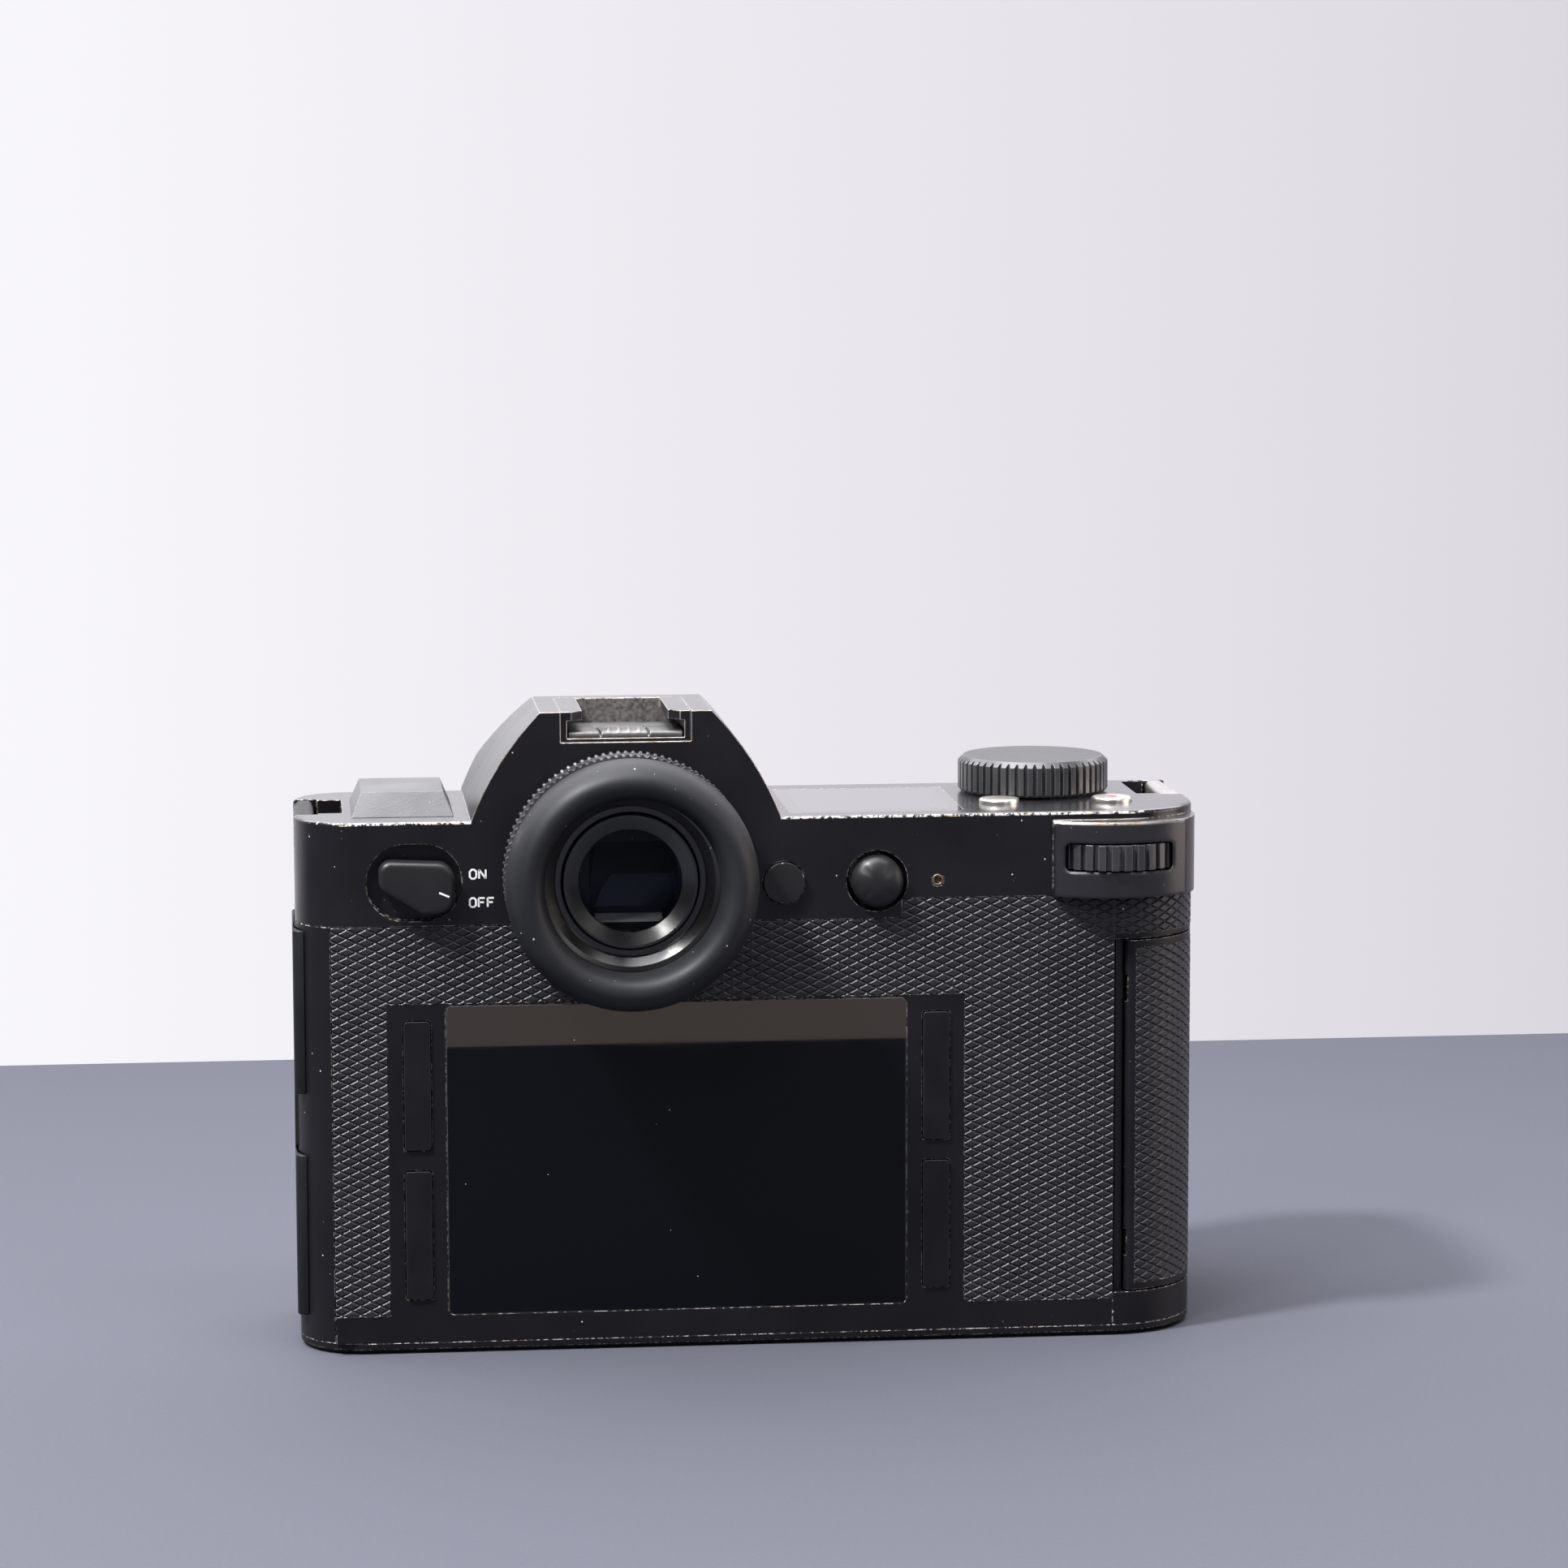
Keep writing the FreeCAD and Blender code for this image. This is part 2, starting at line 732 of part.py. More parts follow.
def top_cover():
    body = new_body("top_cover")
    add(body, "z", d.seam_left + d.seam, deck, plan())
    dress_edges(body, "Fillet", d.deck_round, lambda edge: level(edge, "z", deck.value))
    add(body, "z", d.seam_right + d.seam, d.grip_top, grip())
    add(body, "y", back, hump_nose, hump_profile(zero, deck - 2 * d.deck_round, hump_top))
    slope = outline([
        (hump_brow, hump_top), (hump_nose, hump_top - hump_drop),
        (hump_nose + 1, hump_top - hump_drop), (hump_nose + 1, hump_top + 1),
        (hump_brow, hump_top + 1)])
    cut(body, "x", -d.hump_foot, d.hump_foot, slope)
    bulge = outline([
        (d.bulge_left, back + 2), (d.bulge_left, back - 0.9), (d.bulge_right, back + 0.2),
        (d.body_right - 0.6, back + 9.5), (d.body_right - 5, corner_y),
    ], {1: (d.bulge_radius, True), 2: (d.corner_right, True)})
    add(body, "z", d.bulge_low, d.bulge_high, bulge)
    beyond = rectangle(d.seam_step - d.seam, d.body_right + 1, back - d.bulge_proud - 1, front + 1)
    cut(body, "z", d.seam_left, d.seam_right + d.seam, beyond)
    # The hollow inside
    inside = rectangle(strap_left_in + 1.5, strap_right_in - 1.2, band_inside, front - d.wall)
    cut(body, "z", d.seam_left, roof, inside)
    attic = hump_profile(d.band_wall, roof - 1, hump_top - d.shoe_deep - 2)
    cut(body, "y", band_inside, hump_brow + 3, attic)
    cut(body, "z", d.seam_right, grip_roof, grip(-d.wall, d.wall + 1))
    # Thumb wheel chamber and its slot
    chamber = circle(d.wheel_x, wheel_y, d.wheel_radius + d.slip + d.seam)
    cut(body, "z", d.wheel_low - d.slip, d.wheel_low + d.wheel_thick + d.slip, chamber)
    slot = rectangle(d.wheel_x - d.wheel_slot_half, d.wheel_x + d.wheel_slot_half,
                     d.wheel_low - d.slip, d.wheel_low + d.wheel_thick + d.slip, 0.9)
    cut(body, "y", back - d.bulge_proud - 2, band_inside + 0.5, slot)
    # Rear band
    spread = 1.45
    dish = outline([
        (-d.lever_x - 0.55 - spread, d.lever_z + 0.2 - d.lever_dish_radius),
        (-d.lever_x - 0.55 + spread, d.lever_z + 0.2 - d.lever_dish_radius),
        (-d.lever_x - 0.55 + spread + d.lever_dish_radius, d.lever_z + 0.2),
        (-d.lever_x - 0.55 + spread, d.lever_z + 0.2 + d.lever_dish_radius),
        (-d.lever_x - 0.55 - spread, d.lever_z + 0.2 + d.lever_dish_radius),
        (-d.lever_x - 0.55 - spread - d.lever_dish_radius, d.lever_z + 0.2),
    ], {1: (d.lever_dish_radius, True), 2: (d.lever_dish_radius, True),
        4: (d.lever_dish_radius, True), 5: (d.lever_dish_radius, True)})
    cut(body, "y", back - 1, back + d.lever_dish, dish)
    band_holes = several(
        circle(-d.lever_x, d.lever_z, d.lever_shaft + d.shaft_slip),
        circle(d.finder_key_x, d.control_z, d.finder_key_radius + d.slip / 2),
        circle(d.stick_x, d.control_z, d.stick_hole),
        circle(d.lamp_x, d.control_z, d.lamp_radius + d.shaft_slip),
        circle(zero, d.eye_z, d.eye_bore + d.shaft_slip))
    cut(body, "y", back - 1, band_inside + 1, band_holes)
    cut(body, "y", front - d.wall - 1, front + 1, mount_circle(d.baffle_outer + d.seam))
    # Deck
    seat = rectangle(d.display_left, d.display_right, -d.display_back, d.display_front)
    cut(body, "z", deck - d.display_thick, deck + 1, seat)
    deck_holes = several(
        circle(d.dial_x, dial_y, d.dial_shaft + d.shaft_slip),
        circle(d.deck_key_left_x, deck_key_y, d.deck_key_radius + d.slip / 2),
        circle(d.deck_key_right_x, deck_key_y, d.deck_key_radius + d.slip / 2))
    cut(body, "z", roof - 1, deck + 1, deck_holes)
    release = circle(d.shutter_x, d.shutter_y, d.shutter_radius + d.slip / 2)
    cut(body, "z", grip_roof - 1, d.grip_top + 1, release)
    # Strap slots, with seats for the bars
    for x0, x1, y0, bar0, bar1 in (
            (-d.body_left - 1, strap_left_in, -d.strap_left_y, -d.body_left, -d.body_left + d.strap_bar),
            (strap_right_in, d.body_right + 1, d.strap_right_y, d.body_right - d.strap_bar, d.body_right)):
        cut(body, "z", deck - d.strap_deep, deck + 1, rectangle(x0, x1, y0, y0 + d.strap_long))
        seats = rectangle(bar0 - 0.5, bar1 + 0.5, y0 - d.bar_seat, y0 + d.strap_long + d.bar_seat)
        cut(body, "z", deck - d.bar_high - d.shaft_slip, deck + 1, seats)
    shoe = rectangle(-d.shoe_half, d.shoe_half, back - 1, back + d.shoe_long)
    cut(body, "z", hump_top - d.shoe_deep, hump_top + 1, shoe)
    return body


def back_plate():
    body = new_body("back_plate")
    points = [
        (-d.plate_left, d.base_thick), (d.plate_right, d.base_thick), (d.plate_right, d.seam_right),
        (d.seam_step, d.seam_right), (d.seam_step, d.seam_left), (-d.plate_left, d.seam_left),
    ]
    add(body, "y", back, plate_inside, outline(points))
    leather = rear_skin(-d.plate_left - 1, d.plate_right + 1, d.seam_left + 1, d.seam_right + 1)
    cut(body, "y", back - 1, back + d.leather_deep + d.leather_proud, leather)
    glass = rectangle(-d.glass_left, d.glass_right, d.glass_low, d.glass_high, 1.0)
    cut(body, "y", back - 1, back + d.glass_thick, glass)
    ledge = d.glass_ledge
    window = rectangle(-d.glass_left + ledge, d.glass_right - ledge,
                       d.glass_low + ledge, d.glass_high - ledge)
    cut(body, "y", back, plate_inside + 1, window)
    cut(body, "y", back - 1, plate_inside + 1, several(*rear_keys(d.slip / 2).values()))
    cut(body, "y", back - 1, plate_inside + 1, circle(zero, d.eye_z, d.eye_bore + d.shaft_slip))
    return body


def bottom_plate():
    body = new_body("bottom_plate")
    add(body, "z", zero, d.base_thick, plan())
    add(body, "z", zero, d.base_thick, grip()).Refine = True
    dress_edges(body, "Chamfer", d.base_chamfer, lambda edge: level(edge, "z", 0.0))
    cut(body, "z", -1, d.base_thick + 1, circle(zero, zero, d.tripod_disc + d.seam))
    hatch = rectangle(hatch_left, hatch_right, hatch_back, hatch_front)
    cut(body, "z", -1, d.base_thick + 1, hatch)
    pin = circle(hatch_axis_x, hatch_axis_z, d.hinge_pin + d.shaft_slip)
    cut(body, "y", hatch_back - d.bar_seat, hatch_front + d.bar_seat, pin)
    seats = [circle(x, y, d.screw_head + d.seam) for x, y in BASE_SCREWS]
    cut(body, "z", -1, d.screw_thick, several(*seats))
    return body


def leather_rear():
    body = new_body("leather_rear")
    skin = rear_skin(-d.plate_left, d.plate_right, d.seam_left, d.seam_right)
    add(body, "y", back - d.leather_proud, back + d.leather_deep + d.leather_proud, skin)
    cut(body, "y", back - 1, plate_inside, circle(zero, d.eye_z, d.barrel_radius + d.slip))
    return body


def leather_front():
    body = new_body("leather_front")
    add(body, "y", front - d.leather_deep, front + d.leather_proud, front_skin(d.slip, d.seam_left))
    cut(body, "y", front - 1, front + 1, circle(d.release_x, pin_z, d.release_radius + d.slip))
    add(body, "z", d.rail_top, d.seam_right, grip_skin(-d.leather_deep, d.leather_proud))
    top = corner_skin(d.leather_deep, -d.leather_proud, d.plate_right, front)
    add(body, "z", d.door_high + d.door_rim, d.seam_right, top)
    side = rectangle(d.body_right - d.leather_deep, d.body_right + d.leather_proud,
                     d.door_front + d.door_rim, front)
    add(body, "z", d.rail_top, d.door_high + d.door_rim, side)
    return body


def antenna_cover():
    body = new_body("antenna_cover")
    low = new_sketch(body, "z", deck)
    rectangle(-d.antenna_left, -d.antenna_right, -d.antenna_back, d.antenna_front)(low)
    high = new_sketch(body, "z", deck + d.antenna_high)
    rectangle(-d.antenna_left + d.antenna_slope, -d.antenna_right - d.antenna_slope,
              -d.antenna_back + d.antenna_slope_back, d.antenna_front - d.antenna_slope)(high)
    loft = body.newObject("PartDesign::AdditiveLoft", "antenna_loft")
    loft.Profile = low
    loft.Sections = [high]
    loft.Ruled = True
    return body


# Eyepiece and finder


def eyepiece_barrel():
    body = place(new_body("eyepiece_barrel"), y=back, z=d.eye_z)
    rear = -d.barrel_long - d.cup_seat_long
    front_end = d.band_wall
    step = d.eye_window
    turn(body, "y", [
        (d.eye_bore, front_end), (d.eye_bore, zero),
        (d.barrel_radius, zero), (d.barrel_radius, -d.barrel_long),
        (d.cup_seat, -d.barrel_long), (d.cup_seat, rear), (d.cup_seat - 2.1, rear),
        (d.cup_seat - 2.1, rear + 1.2), (d.cup_seat - 3.1, rear + 1.2), (d.cup_seat - 3.4, rear + 2.4),
        (d.cup_seat - 4.2, rear + 2.4), (d.cup_seat - 4.8, rear + 3.4), (step, rear + 3.4),
        (step, rear + 4.2), (d.lens_radius, rear + 4.2), (d.lens_radius, front_end),
    ])
    return body


def dioptre_ring():
    body = place(new_body("dioptre_ring"), y=back, z=d.eye_z)
    bore = d.barrel_radius + d.shaft_slip
    near, far = -d.slip, -d.slip - d.ring_wide
    turn(body, "y", [
        (bore, near), (d.ring_radius - 0.6, near), (d.ring_radius, near - 0.5), (d.ring_radius, far + 0.7),
        (d.ring_radius - 0.8, far), (bore, far),
    ])
    return body


def eyecup():
    body = place(new_body("eyecup"), y=back - d.barrel_long, z=d.eye_z)
    seat = d.cup_seat
    end = -d.cup_long
    turn(body, "y", [
        (seat, -d.seam), (seat + 2.7, -d.seam), (d.cup_radius - 1.4, -1.9), (d.cup_radius - 0.3, -5.0),
        (d.cup_radius, -8.5), (d.cup_radius - 0.2, end + 1.8), (d.cup_radius - 1.9, end),
        (d.cup_mouth + 1.8, end), (d.cup_mouth, end + 1.8), (d.cup_mouth + 0.3, -7.0),
        (seat, -d.cup_seat_long - 0.4),
    ], {5: (1.9, False), 7: (1.8, False)})
    return body


def eyepiece_lens():
    body = place(new_body("eyepiece_lens"), y=back, z=d.eye_z)
    seat = -d.barrel_long - d.cup_seat_long + d.lens_sunk
    edge = d.lens_radius - d.shaft_slip
    turn(body, "y", [
        (zero, seat - 0.9), (d.eye_window - 0.2, seat), (edge, seat), (edge, seat + 2.6), (zero, seat + 3.8),
    ], {0: (36.0, True)})
    return body


def finder_housing():
    body = new_body("finder_housing")
    start = band_inside
    end = baffle_back - d.finder_clear
    box = rectangle(-d.finder_half, d.finder_half, finder_low, finder_high, 1.5)
    add(body, "y", start, end, box)
    cut(body, "y", start, end - 3.5, circle(zero, d.eye_z, d.lens_radius))
    return body


# Accessory shoe


def shoe_rails():
    body = new_body("shoe_rails")
    half = d.shoe_half - d.shaft_slip
    low = hump_top - d.shoe_deep
    start, end = back + d.slip, back + d.shoe_long - d.shaft_slip
    add(body, "z", low, hump_top, rectangle(-half, half, start, end))
    inner = half - d.shoe_side
    channel = rectangle(-inner, inner, start - 1, end - d.shoe_side)
    cut(body, "z", low + d.shoe_floor, hump_top - d.shoe_lip, channel)
    lip = d.shoe_lip_half
    mouth = outline([
        (-lip - d.shoe_flare, start - 1), (lip + d.shoe_flare, start - 1), (lip + d.shoe_flare, start),
        (lip, start + d.shoe_flare), (lip, end - d.shoe_side), (-lip, end - d.shoe_side),
        (-lip, start + d.shoe_flare), (-lip - d.shoe_flare, start)])
    cut(body, "z", hump_top - d.shoe_lip - 1, hump_top + 1, mouth)
    return body


def shoe_spring():
    body = new_body("shoe_spring")
    low = hump_top - d.shoe_deep + d.shoe_floor
    start = back + d.slip + 0.5
    half = d.spring_half
    profile = outline([
        (start + 0.5, low), (start + d.shoe_long - 3.5, low), (start + d.shoe_long - 3.5, low + 0.6),
        (start + 4.0, low + d.spring_thick), (start + 0.5, low + d.spring_thick), (start, low + 0.6),
        (start, low + 0.5),
    ], {4: (0.5, True), 6: (0.5, True)})
    add(body, "x", -half, half, profile)
    return body


# Screen, keys and rear controls


def lcd_glass():
    body = new_body("lcd_glass")
    gap = d.seam
    pane = rectangle(-d.glass_left + gap, d.glass_right - gap, d.glass_low + gap, d.glass_high - gap, 0.9)
    add(body, "y", back, back + d.glass_thick, pane)
    return body


def lcd_panel():
    body = new_body("lcd_panel")
    gap = d.glass_ledge + d.slip
    pane = rectangle(-d.glass_left + gap, d.glass_right - gap, d.glass_low + gap, d.glass_high - gap)
    add(body, "y", back + d.glass_thick, back + d.glass_thick + d.panel_thick, pane)
    return body


def screen_keys():
    plates = rear_keys(zero)
    flanges = rear_keys(d.key_flange)
    for name in plates:
        body = new_body("screen_key_" + name)
        flange_start = plate_inside + d.slip
        add(body, "y", back - d.key_proud, flange_start + d.flange_thick, plates[name])
        add(body, "y", flange_start, flange_start + d.flange_thick, flanges[name])


def power_lever():
    body = place(new_body("power_lever"), x=-d.lever_x, y=back, z=d.lever_z)
    shares = [(-3.6, 4.0), (5.6, 2.4), (6.2, -0.6), (3.0, -4.4), (0.2, -4.6), (-5.4, 1.9)]
    turns = [18.0, 1.9, 12.0, 1.8, 18.0, 1.7]
    share = d.lever_reach / 6.2
    points = [(x * share, z * share) for x, z in shares]
    bends = {edge: (turned * share, False) for edge, turned in enumerate(turns)}
    add(body, "y", -d.lever_proud, d.lever_dish - d.slip, outline(points, bends))
    clip = d.band_wall + d.slip
    add(body, "y", d.lever_dish - d.slip - 1, clip + 1, circle(zero, zero, d.lever_shaft))
    add(body, "y", clip, clip + d.flange_thick, circle(zero, zero, 2 * d.lever_shaft))
    return body


def finder_key():
    body = place(new_body("finder_key"), x=d.finder_key_x, y=back, z=d.control_z)
    flange_start = d.band_wall + d.slip
    add(body, "y", -d.finder_key_travel, flange_start, circle(zero, zero, d.finder_key_radius))
    grown = circle(zero, zero, d.finder_key_radius + d.flange_grow)
    add(body, "y", flange_start, flange_start + d.flange_thick, grown)
    reach = d.board_depth - d.finder_key_travel - 0.2
    add(body, "y", flange_start, reach, circle(zero, zero, 1.2))
    return body


def control_board():
    body = new_body("control_board")
    start = back + d.board_depth
    board = rectangle(d.control_left, d.control_right, d.seam_left + 1, roof)
    add(body, "y", start, start + 1, board)
    return body


def joystick():
    pivot = back + d.stick_pivot
    base = place(new_body("joystick_base"), x=d.stick_x, z=d.control_z)
    start = band_inside + 2 * d.slip
    end = back + d.board_depth
    add(base, "y", start, end, rectangle(-d.stick_box, d.stick_box, -d.stick_box, d.stick_box, 0.8))
    cut(base, "y", start - 1, end - 1, circle(zero, zero, d.stick_box - 1.1))
    base_bore = circle(pivot, zero, 0.5 + d.shaft_slip)
    cut(base, "x", -5.0, 5.0, base_bore)

    yoke = place(new_body("joystick_yoke"), x=d.stick_x, z=d.control_z)
    add(yoke, "y", pivot - 1, pivot + 1, circle(zero, zero, 4.0))
    add(yoke, "x", -4.9, 4.9, circle(pivot, zero, 0.5))
    cut(yoke, "y", pivot - 2, pivot + 2, circle(zero, zero, 2.7))
    cut(yoke, "z", -3.4, 3.4, circle(zero, pivot, 0.4 + d.shaft_slip))

    stem = place(new_body("joystick_stem"), x=d.stick_x, z=d.control_z)
    add(stem, "y", pivot - 0.8, pivot + 0.8, circle(zero, zero, 2.3))
    add(stem, "y", back + 0.5, pivot, circle(zero, zero, 0.9))
    add(stem, "z", -3.3, 3.3, circle(zero, pivot, 0.4))

    cap = place(new_body("joystick_cap"), x=d.stick_x, y=back, z=d.control_z)
    bore = 0.9 + d.shaft_slip
    radius = d.stick_radius
    turn(cap, "y", [
        (bore, 2.1), (1.8, 2.1), (1.8, 1.0), (radius - 0.5, 1.0), (radius, 0.4), (radius, -0.6),
        (zero, -3.0), (zero, zero), (bore, zero),
    ], {5: (4.9, False)})


# Wheels and dials


def thumb_wheel():
    body = place(new_body("thumb_wheel"), x=d.wheel_x, y=wheel_y, z=d.wheel_low)
    radius, thick = d.wheel_radius, d.wheel_thick
    add(body, "z", zero, thick, circle(zero, zero, radius))
    cut(body, "z", zero, thick, circle(zero, zero, d.wheel_axle + d.shaft_slip))
    half = radius * 0.047
    notch = cut(body, "z", -1, thick + 1, outline([
        (radius - 0.75, -half / 2), (radius + 1, -half * 1.6),
        (radius + 1, half * 1.6), (radius - 0.75, half / 2)]))
    around(body, notch, d.wheel_teeth)
    return body


def thumb_wheel_axle():
    body = place(new_body("thumb_wheel_axle"), x=d.wheel_x, y=wheel_y)
    low = d.wheel_low - 2
    add(body, "z", low, roof, circle(zero, zero, d.wheel_axle))
    add(body, "z", low, d.wheel_low - d.slip, circle(zero, zero, 2 * d.wheel_axle))
    return body


def top_dial():
    body = place(new_body("top_dial"), x=d.dial_x, y=dial_y, z=deck + d.slip)
    radius, high = d.dial_radius, d.dial_high
    turn(body, "z", [
        (zero, -6.2), (d.dial_shaft, -6.2), (d.dial_shaft, zero), (radius - 0.4, zero), (radius, 0.4),
        (radius, high - 0.9), (radius - 0.9, high), (zero, high),
    ])
    half = radius * 0.031
    notch = cut(body, "z", -1, high + 1, outline([
        (radius - 0.6, -half / 3), (radius + 1, -half * 1.9),
        (radius + 1, half * 1.9), (radius - 0.6, half / 3)]))
    around(body, notch, d.dial_teeth)
    return body


def deck_keys():
    flange_high = roof - d.slip
    top = deck + d.deck_key_proud
    radius = d.deck_key_radius
    wide = radius + d.flange_grow
    points = [
        (zero, flange_high - d.flange_thick), (wide, flange_high - d.flange_thick), (wide, flange_high),
        (radius, flange_high), (radius, top - 0.4), (radius - 0.4, top), (zero, top),
    ]
    for side, x in (("left", d.deck_key_left_x), ("right", d.deck_key_right_x)):
        body = place(new_body("deck_key_" + side), x=x, y=deck_key_y)
        turn(body, "z", points, {4: (0.4, True)})


def top_display():
    body = new_body("top_display")
    gap = d.seam / 2
    pane = rectangle(d.display_left + gap, d.display_right - gap,
                     -d.display_back + gap, d.display_front - gap)
    add(body, "z", deck - d.display_thick, deck, pane)
    return body


def shutter_button():
    body = place(new_body("shutter_button"), x=d.shutter_x, y=d.shutter_y)
    flange_high = grip_roof - d.slip
    top = d.grip_top + d.shutter_proud
    radius = d.shutter_radius
    wide = radius + d.flange_grow
    turn(body, "z", [
        (zero, flange_high - d.flange_thick), (wide, flange_high - d.flange_thick), (wide, flange_high),
        (radius, flange_high), (radius, top - 0.5), (radius - 0.5, top), (zero, top - 0.4),
    ], {4: (0.5, True)})
    return body


def strap_bars():
    body = new_body("strap_bars")
    for x, y in ((-d.body_left, -d.strap_left_y), (d.body_right - d.strap_bar, d.strap_right_y)):
        bar = rectangle(x + d.shaft_slip, x + d.strap_bar - d.shaft_slip, deck - d.bar_high, deck - d.seam,
                        d.bar_round)
        add(body, "y", y - d.bar_seat + d.shaft_slip, y + d.strap_long + d.bar_seat - d.shaft_slip, bar)
    return body


# Lens mount and light path


def mount_ring():
    body = place(new_body("mount_ring"), z=d.mount_z)
    add(body, "y", front, flange, circle(zero, zero, d.mount_radius))
    cut(body, "y", front - 1, flange + 1, circle(zero, zero, d.throat))
    cut(body, "y", front - 1, flange - d.throat_lip, circle(zero, zero, d.lug_groove))
    cut(body, "y", front - 1, flange + 1, circle(pin_x, pin_z - d.mount_z, d.lock_pin + d.shaft_slip))
    seats = [circle(x, z, d.screw_head + d.seam) for x, z in MOUNT_SCREWS]
    cut(body, "y", flange - d.screw_thick, flange + 1, several(*seats))
    low, high = d.throat - 1, d.lug_groove
    side, rise = cosine(d.lug_gap), sine(d.lug_gap)
    gap = cut(body, "y", front - 1, flange + 1, outline([
        (low * side, -low * rise), (high * side, -high * rise),
        (high * side, high * rise), (low * side, low * rise),
    ], {1: (high, True), 3: (low, False)}))
    around(body, gap, 3, "Y_Axis")
    return body


def light_baffle():
    body = new_body("light_baffle")
    add(body, "y", baffle_back, front, mount_circle(d.baffle_outer))
    bore = mount_circle(d.baffle_outer - d.baffle_wall)
    cut(body, "y", baffle_back + d.baffle_wall, front + 1, bore)
    gate = rectangle(-d.gate_half_wide, d.gate_half_wide,
                     d.mount_z - d.gate_half_tall, d.mount_z + d.gate_half_tall)
    cut(body, "y", baffle_back - 1, front, gate)
    return body


def mount_contacts():
    body = new_body("mount_contacts")
    inside = d.baffle_outer - d.baffle_wall
    half = Size.of(7.0)
    low = d.mount_z - root(inside * inside - half * half) + d.seam
    add(body, "y", front - 6, front - 2, rectangle(-half, half, low, d.mount_z - d.throat + 1.5))
    return body


def lens_release():
    """The unlocking button, its arm behind the front wall and the pin that locks the lens."""
    body = new_body("lens_release")
    arm_back = front - d.wall - d.release_arm
    cap_back = front + d.release_travel + 0.2
    add(body, "y", cap_back, front + d.release_proud, circle(d.release_x, pin_z, d.release_radius))
    add(body, "y", arm_back, cap_back, circle(d.release_x, pin_z, d.lever_shaft))
    add(body, "y", arm_back, flange + 1.5, circle(pin_x, pin_z, d.lock_pin))
    arm = rectangle(pin_x - 0.4, d.release_x + d.lever_shaft, pin_z - 2.4, pin_z + 0.8)
    add(body, "y", arm_back - 1.5, arm_back, arm)
    return body


# Card door and bay


def card_door():
    body = new_body("card_door")
    add(body, "z", d.door_low, d.door_high, corner_skin(d.door_thick, zero, hinge_x, d.door_front))
    add(body, "z", d.door_low, d.door_high, circle(hinge_x, hinge_y, d.barrel_round))
    low, high = d.door_low + d.door_rim, d.door_high - d.door_rim
    skin_start = hinge_x + d.barrel_round / 2
    cut(body, "z", low, high, corner_skin(d.leather_deep, -1.0, skin_start, d.door_front - d.door_rim / 2))
    cut(body, "z", d.door_low - 1, d.door_high + 1, circle(hinge_x, hinge_y, d.hinge_pin + d.shaft_slip))
    for eye_low in carrier_levels():
        notch = rectangle(hinge_x - 2, hinge_x + d.eye_round + 0.25,
                          hinge_y - d.eye_round - d.shaft_slip, hinge_y + 3)
        cut(body, "z", eye_low - d.slip, eye_low + d.carrier_thick + d.slip, notch)
    return body


def leather_door():
    body = new_body("leather_door")
    low, high = d.door_low + d.door_rim, d.door_high - d.door_rim
    skin_start = hinge_x + d.barrel_round / 2
    skin = corner_skin(d.leather_deep, -d.leather_proud, skin_start, d.door_front - d.door_rim / 2)
    add(body, "z", low, high, skin)
    return body


def carrier_levels():
    """The low end of each of the two hinge eyes."""
    return [d.door_low + d.carrier_inset, d.door_high - d.carrier_inset - d.carrier_thick]


def card_hinge_slide():
    """Two hinge eyes on a bridge that slides in the card bay, with the hinge pin riveted through them."""
    body = new_body("card_hinge_slide")
    low, high = carrier_levels()
    half = d.eye_round
    far = hinge_y + d.carrier_reach
    add(body, "z", low, high + d.carrier_thick, rectangle(hinge_x - half, hinge_x + half, far - 2, far))
    for eye_low in (low, high):
        eye_high = eye_low + d.carrier_thick
        add(body, "z", eye_low, eye_high, circle(hinge_x, hinge_y, half))
        add(body, "z", eye_low, eye_high, rectangle(hinge_x - half, hinge_x + half, hinge_y, far))
    add(body, "z", d.door_low + 1, d.door_high - 1, circle(hinge_x, hinge_y, d.hinge_pin))
    return body


def card_bay():
    body = new_body("card_bay")
    inset = d.door_thick + d.slip + d.seam
    start, end = d.plate_right + 0.5, d.door_front + 0.4
    low, high = d.door_low - 2, d.door_high + 2
    right = d.body_right - inset
    outer = outline([(start, corner_back(inset, start)), (right, corner_y), (right, end), (start, end)],
                    {0: (d.corner_right - inset, True)})
    add(body, "z", low, high, outer)
    well = hinge_x + d.barrel_round + d.card_bay_wall
    cut(body, "z", low + 4, high - 4, rectangle(well, d.body_right, back - 1, end - 1.4))
    # Channel in which the hinge slides, and room for the hinge barrel
    half = d.eye_round + d.slip
    cut(body, "z", low - 1, high + 1, rectangle(
        hinge_x - half, hinge_x + half, back - 1, hinge_y + d.carrier_reach + d.slip))
    cut(body, "z", low - 1, high + 1, circle(hinge_x, hinge_y, d.barrel_round + d.slip))
    # The reader behind it, with a slot for the card
    half = d.card_thick / 2
    reader = rectangle(-d.card_y - half - 2, -d.card_y + half + 2,
                       d.card_low - 5, d.card_low + d.card_tall + 5)
    add(body, "x", start - 33, start, reader)
    slot = rectangle(-d.card_y - half, -d.card_y + half, d.card_low, d.card_low + d.card_tall)
    cut(body, "x", start - 30, well + 1, slot)
    return body


# Battery, its bay and its hatch


def battery_box(grow):
    return rectangle(
        d.battery_x - d.battery_wide / 2 - grow, d.battery_x + d.battery_wide / 2 + grow,
        d.battery_y - d.battery_deep / 2 - grow, d.battery_y + d.battery_deep / 2 + grow, 2.0)


def battery():
    body = new_body("battery")
    add(body, "z", d.battery_low, d.battery_low + d.battery_tall, battery_box(zero))
    return body


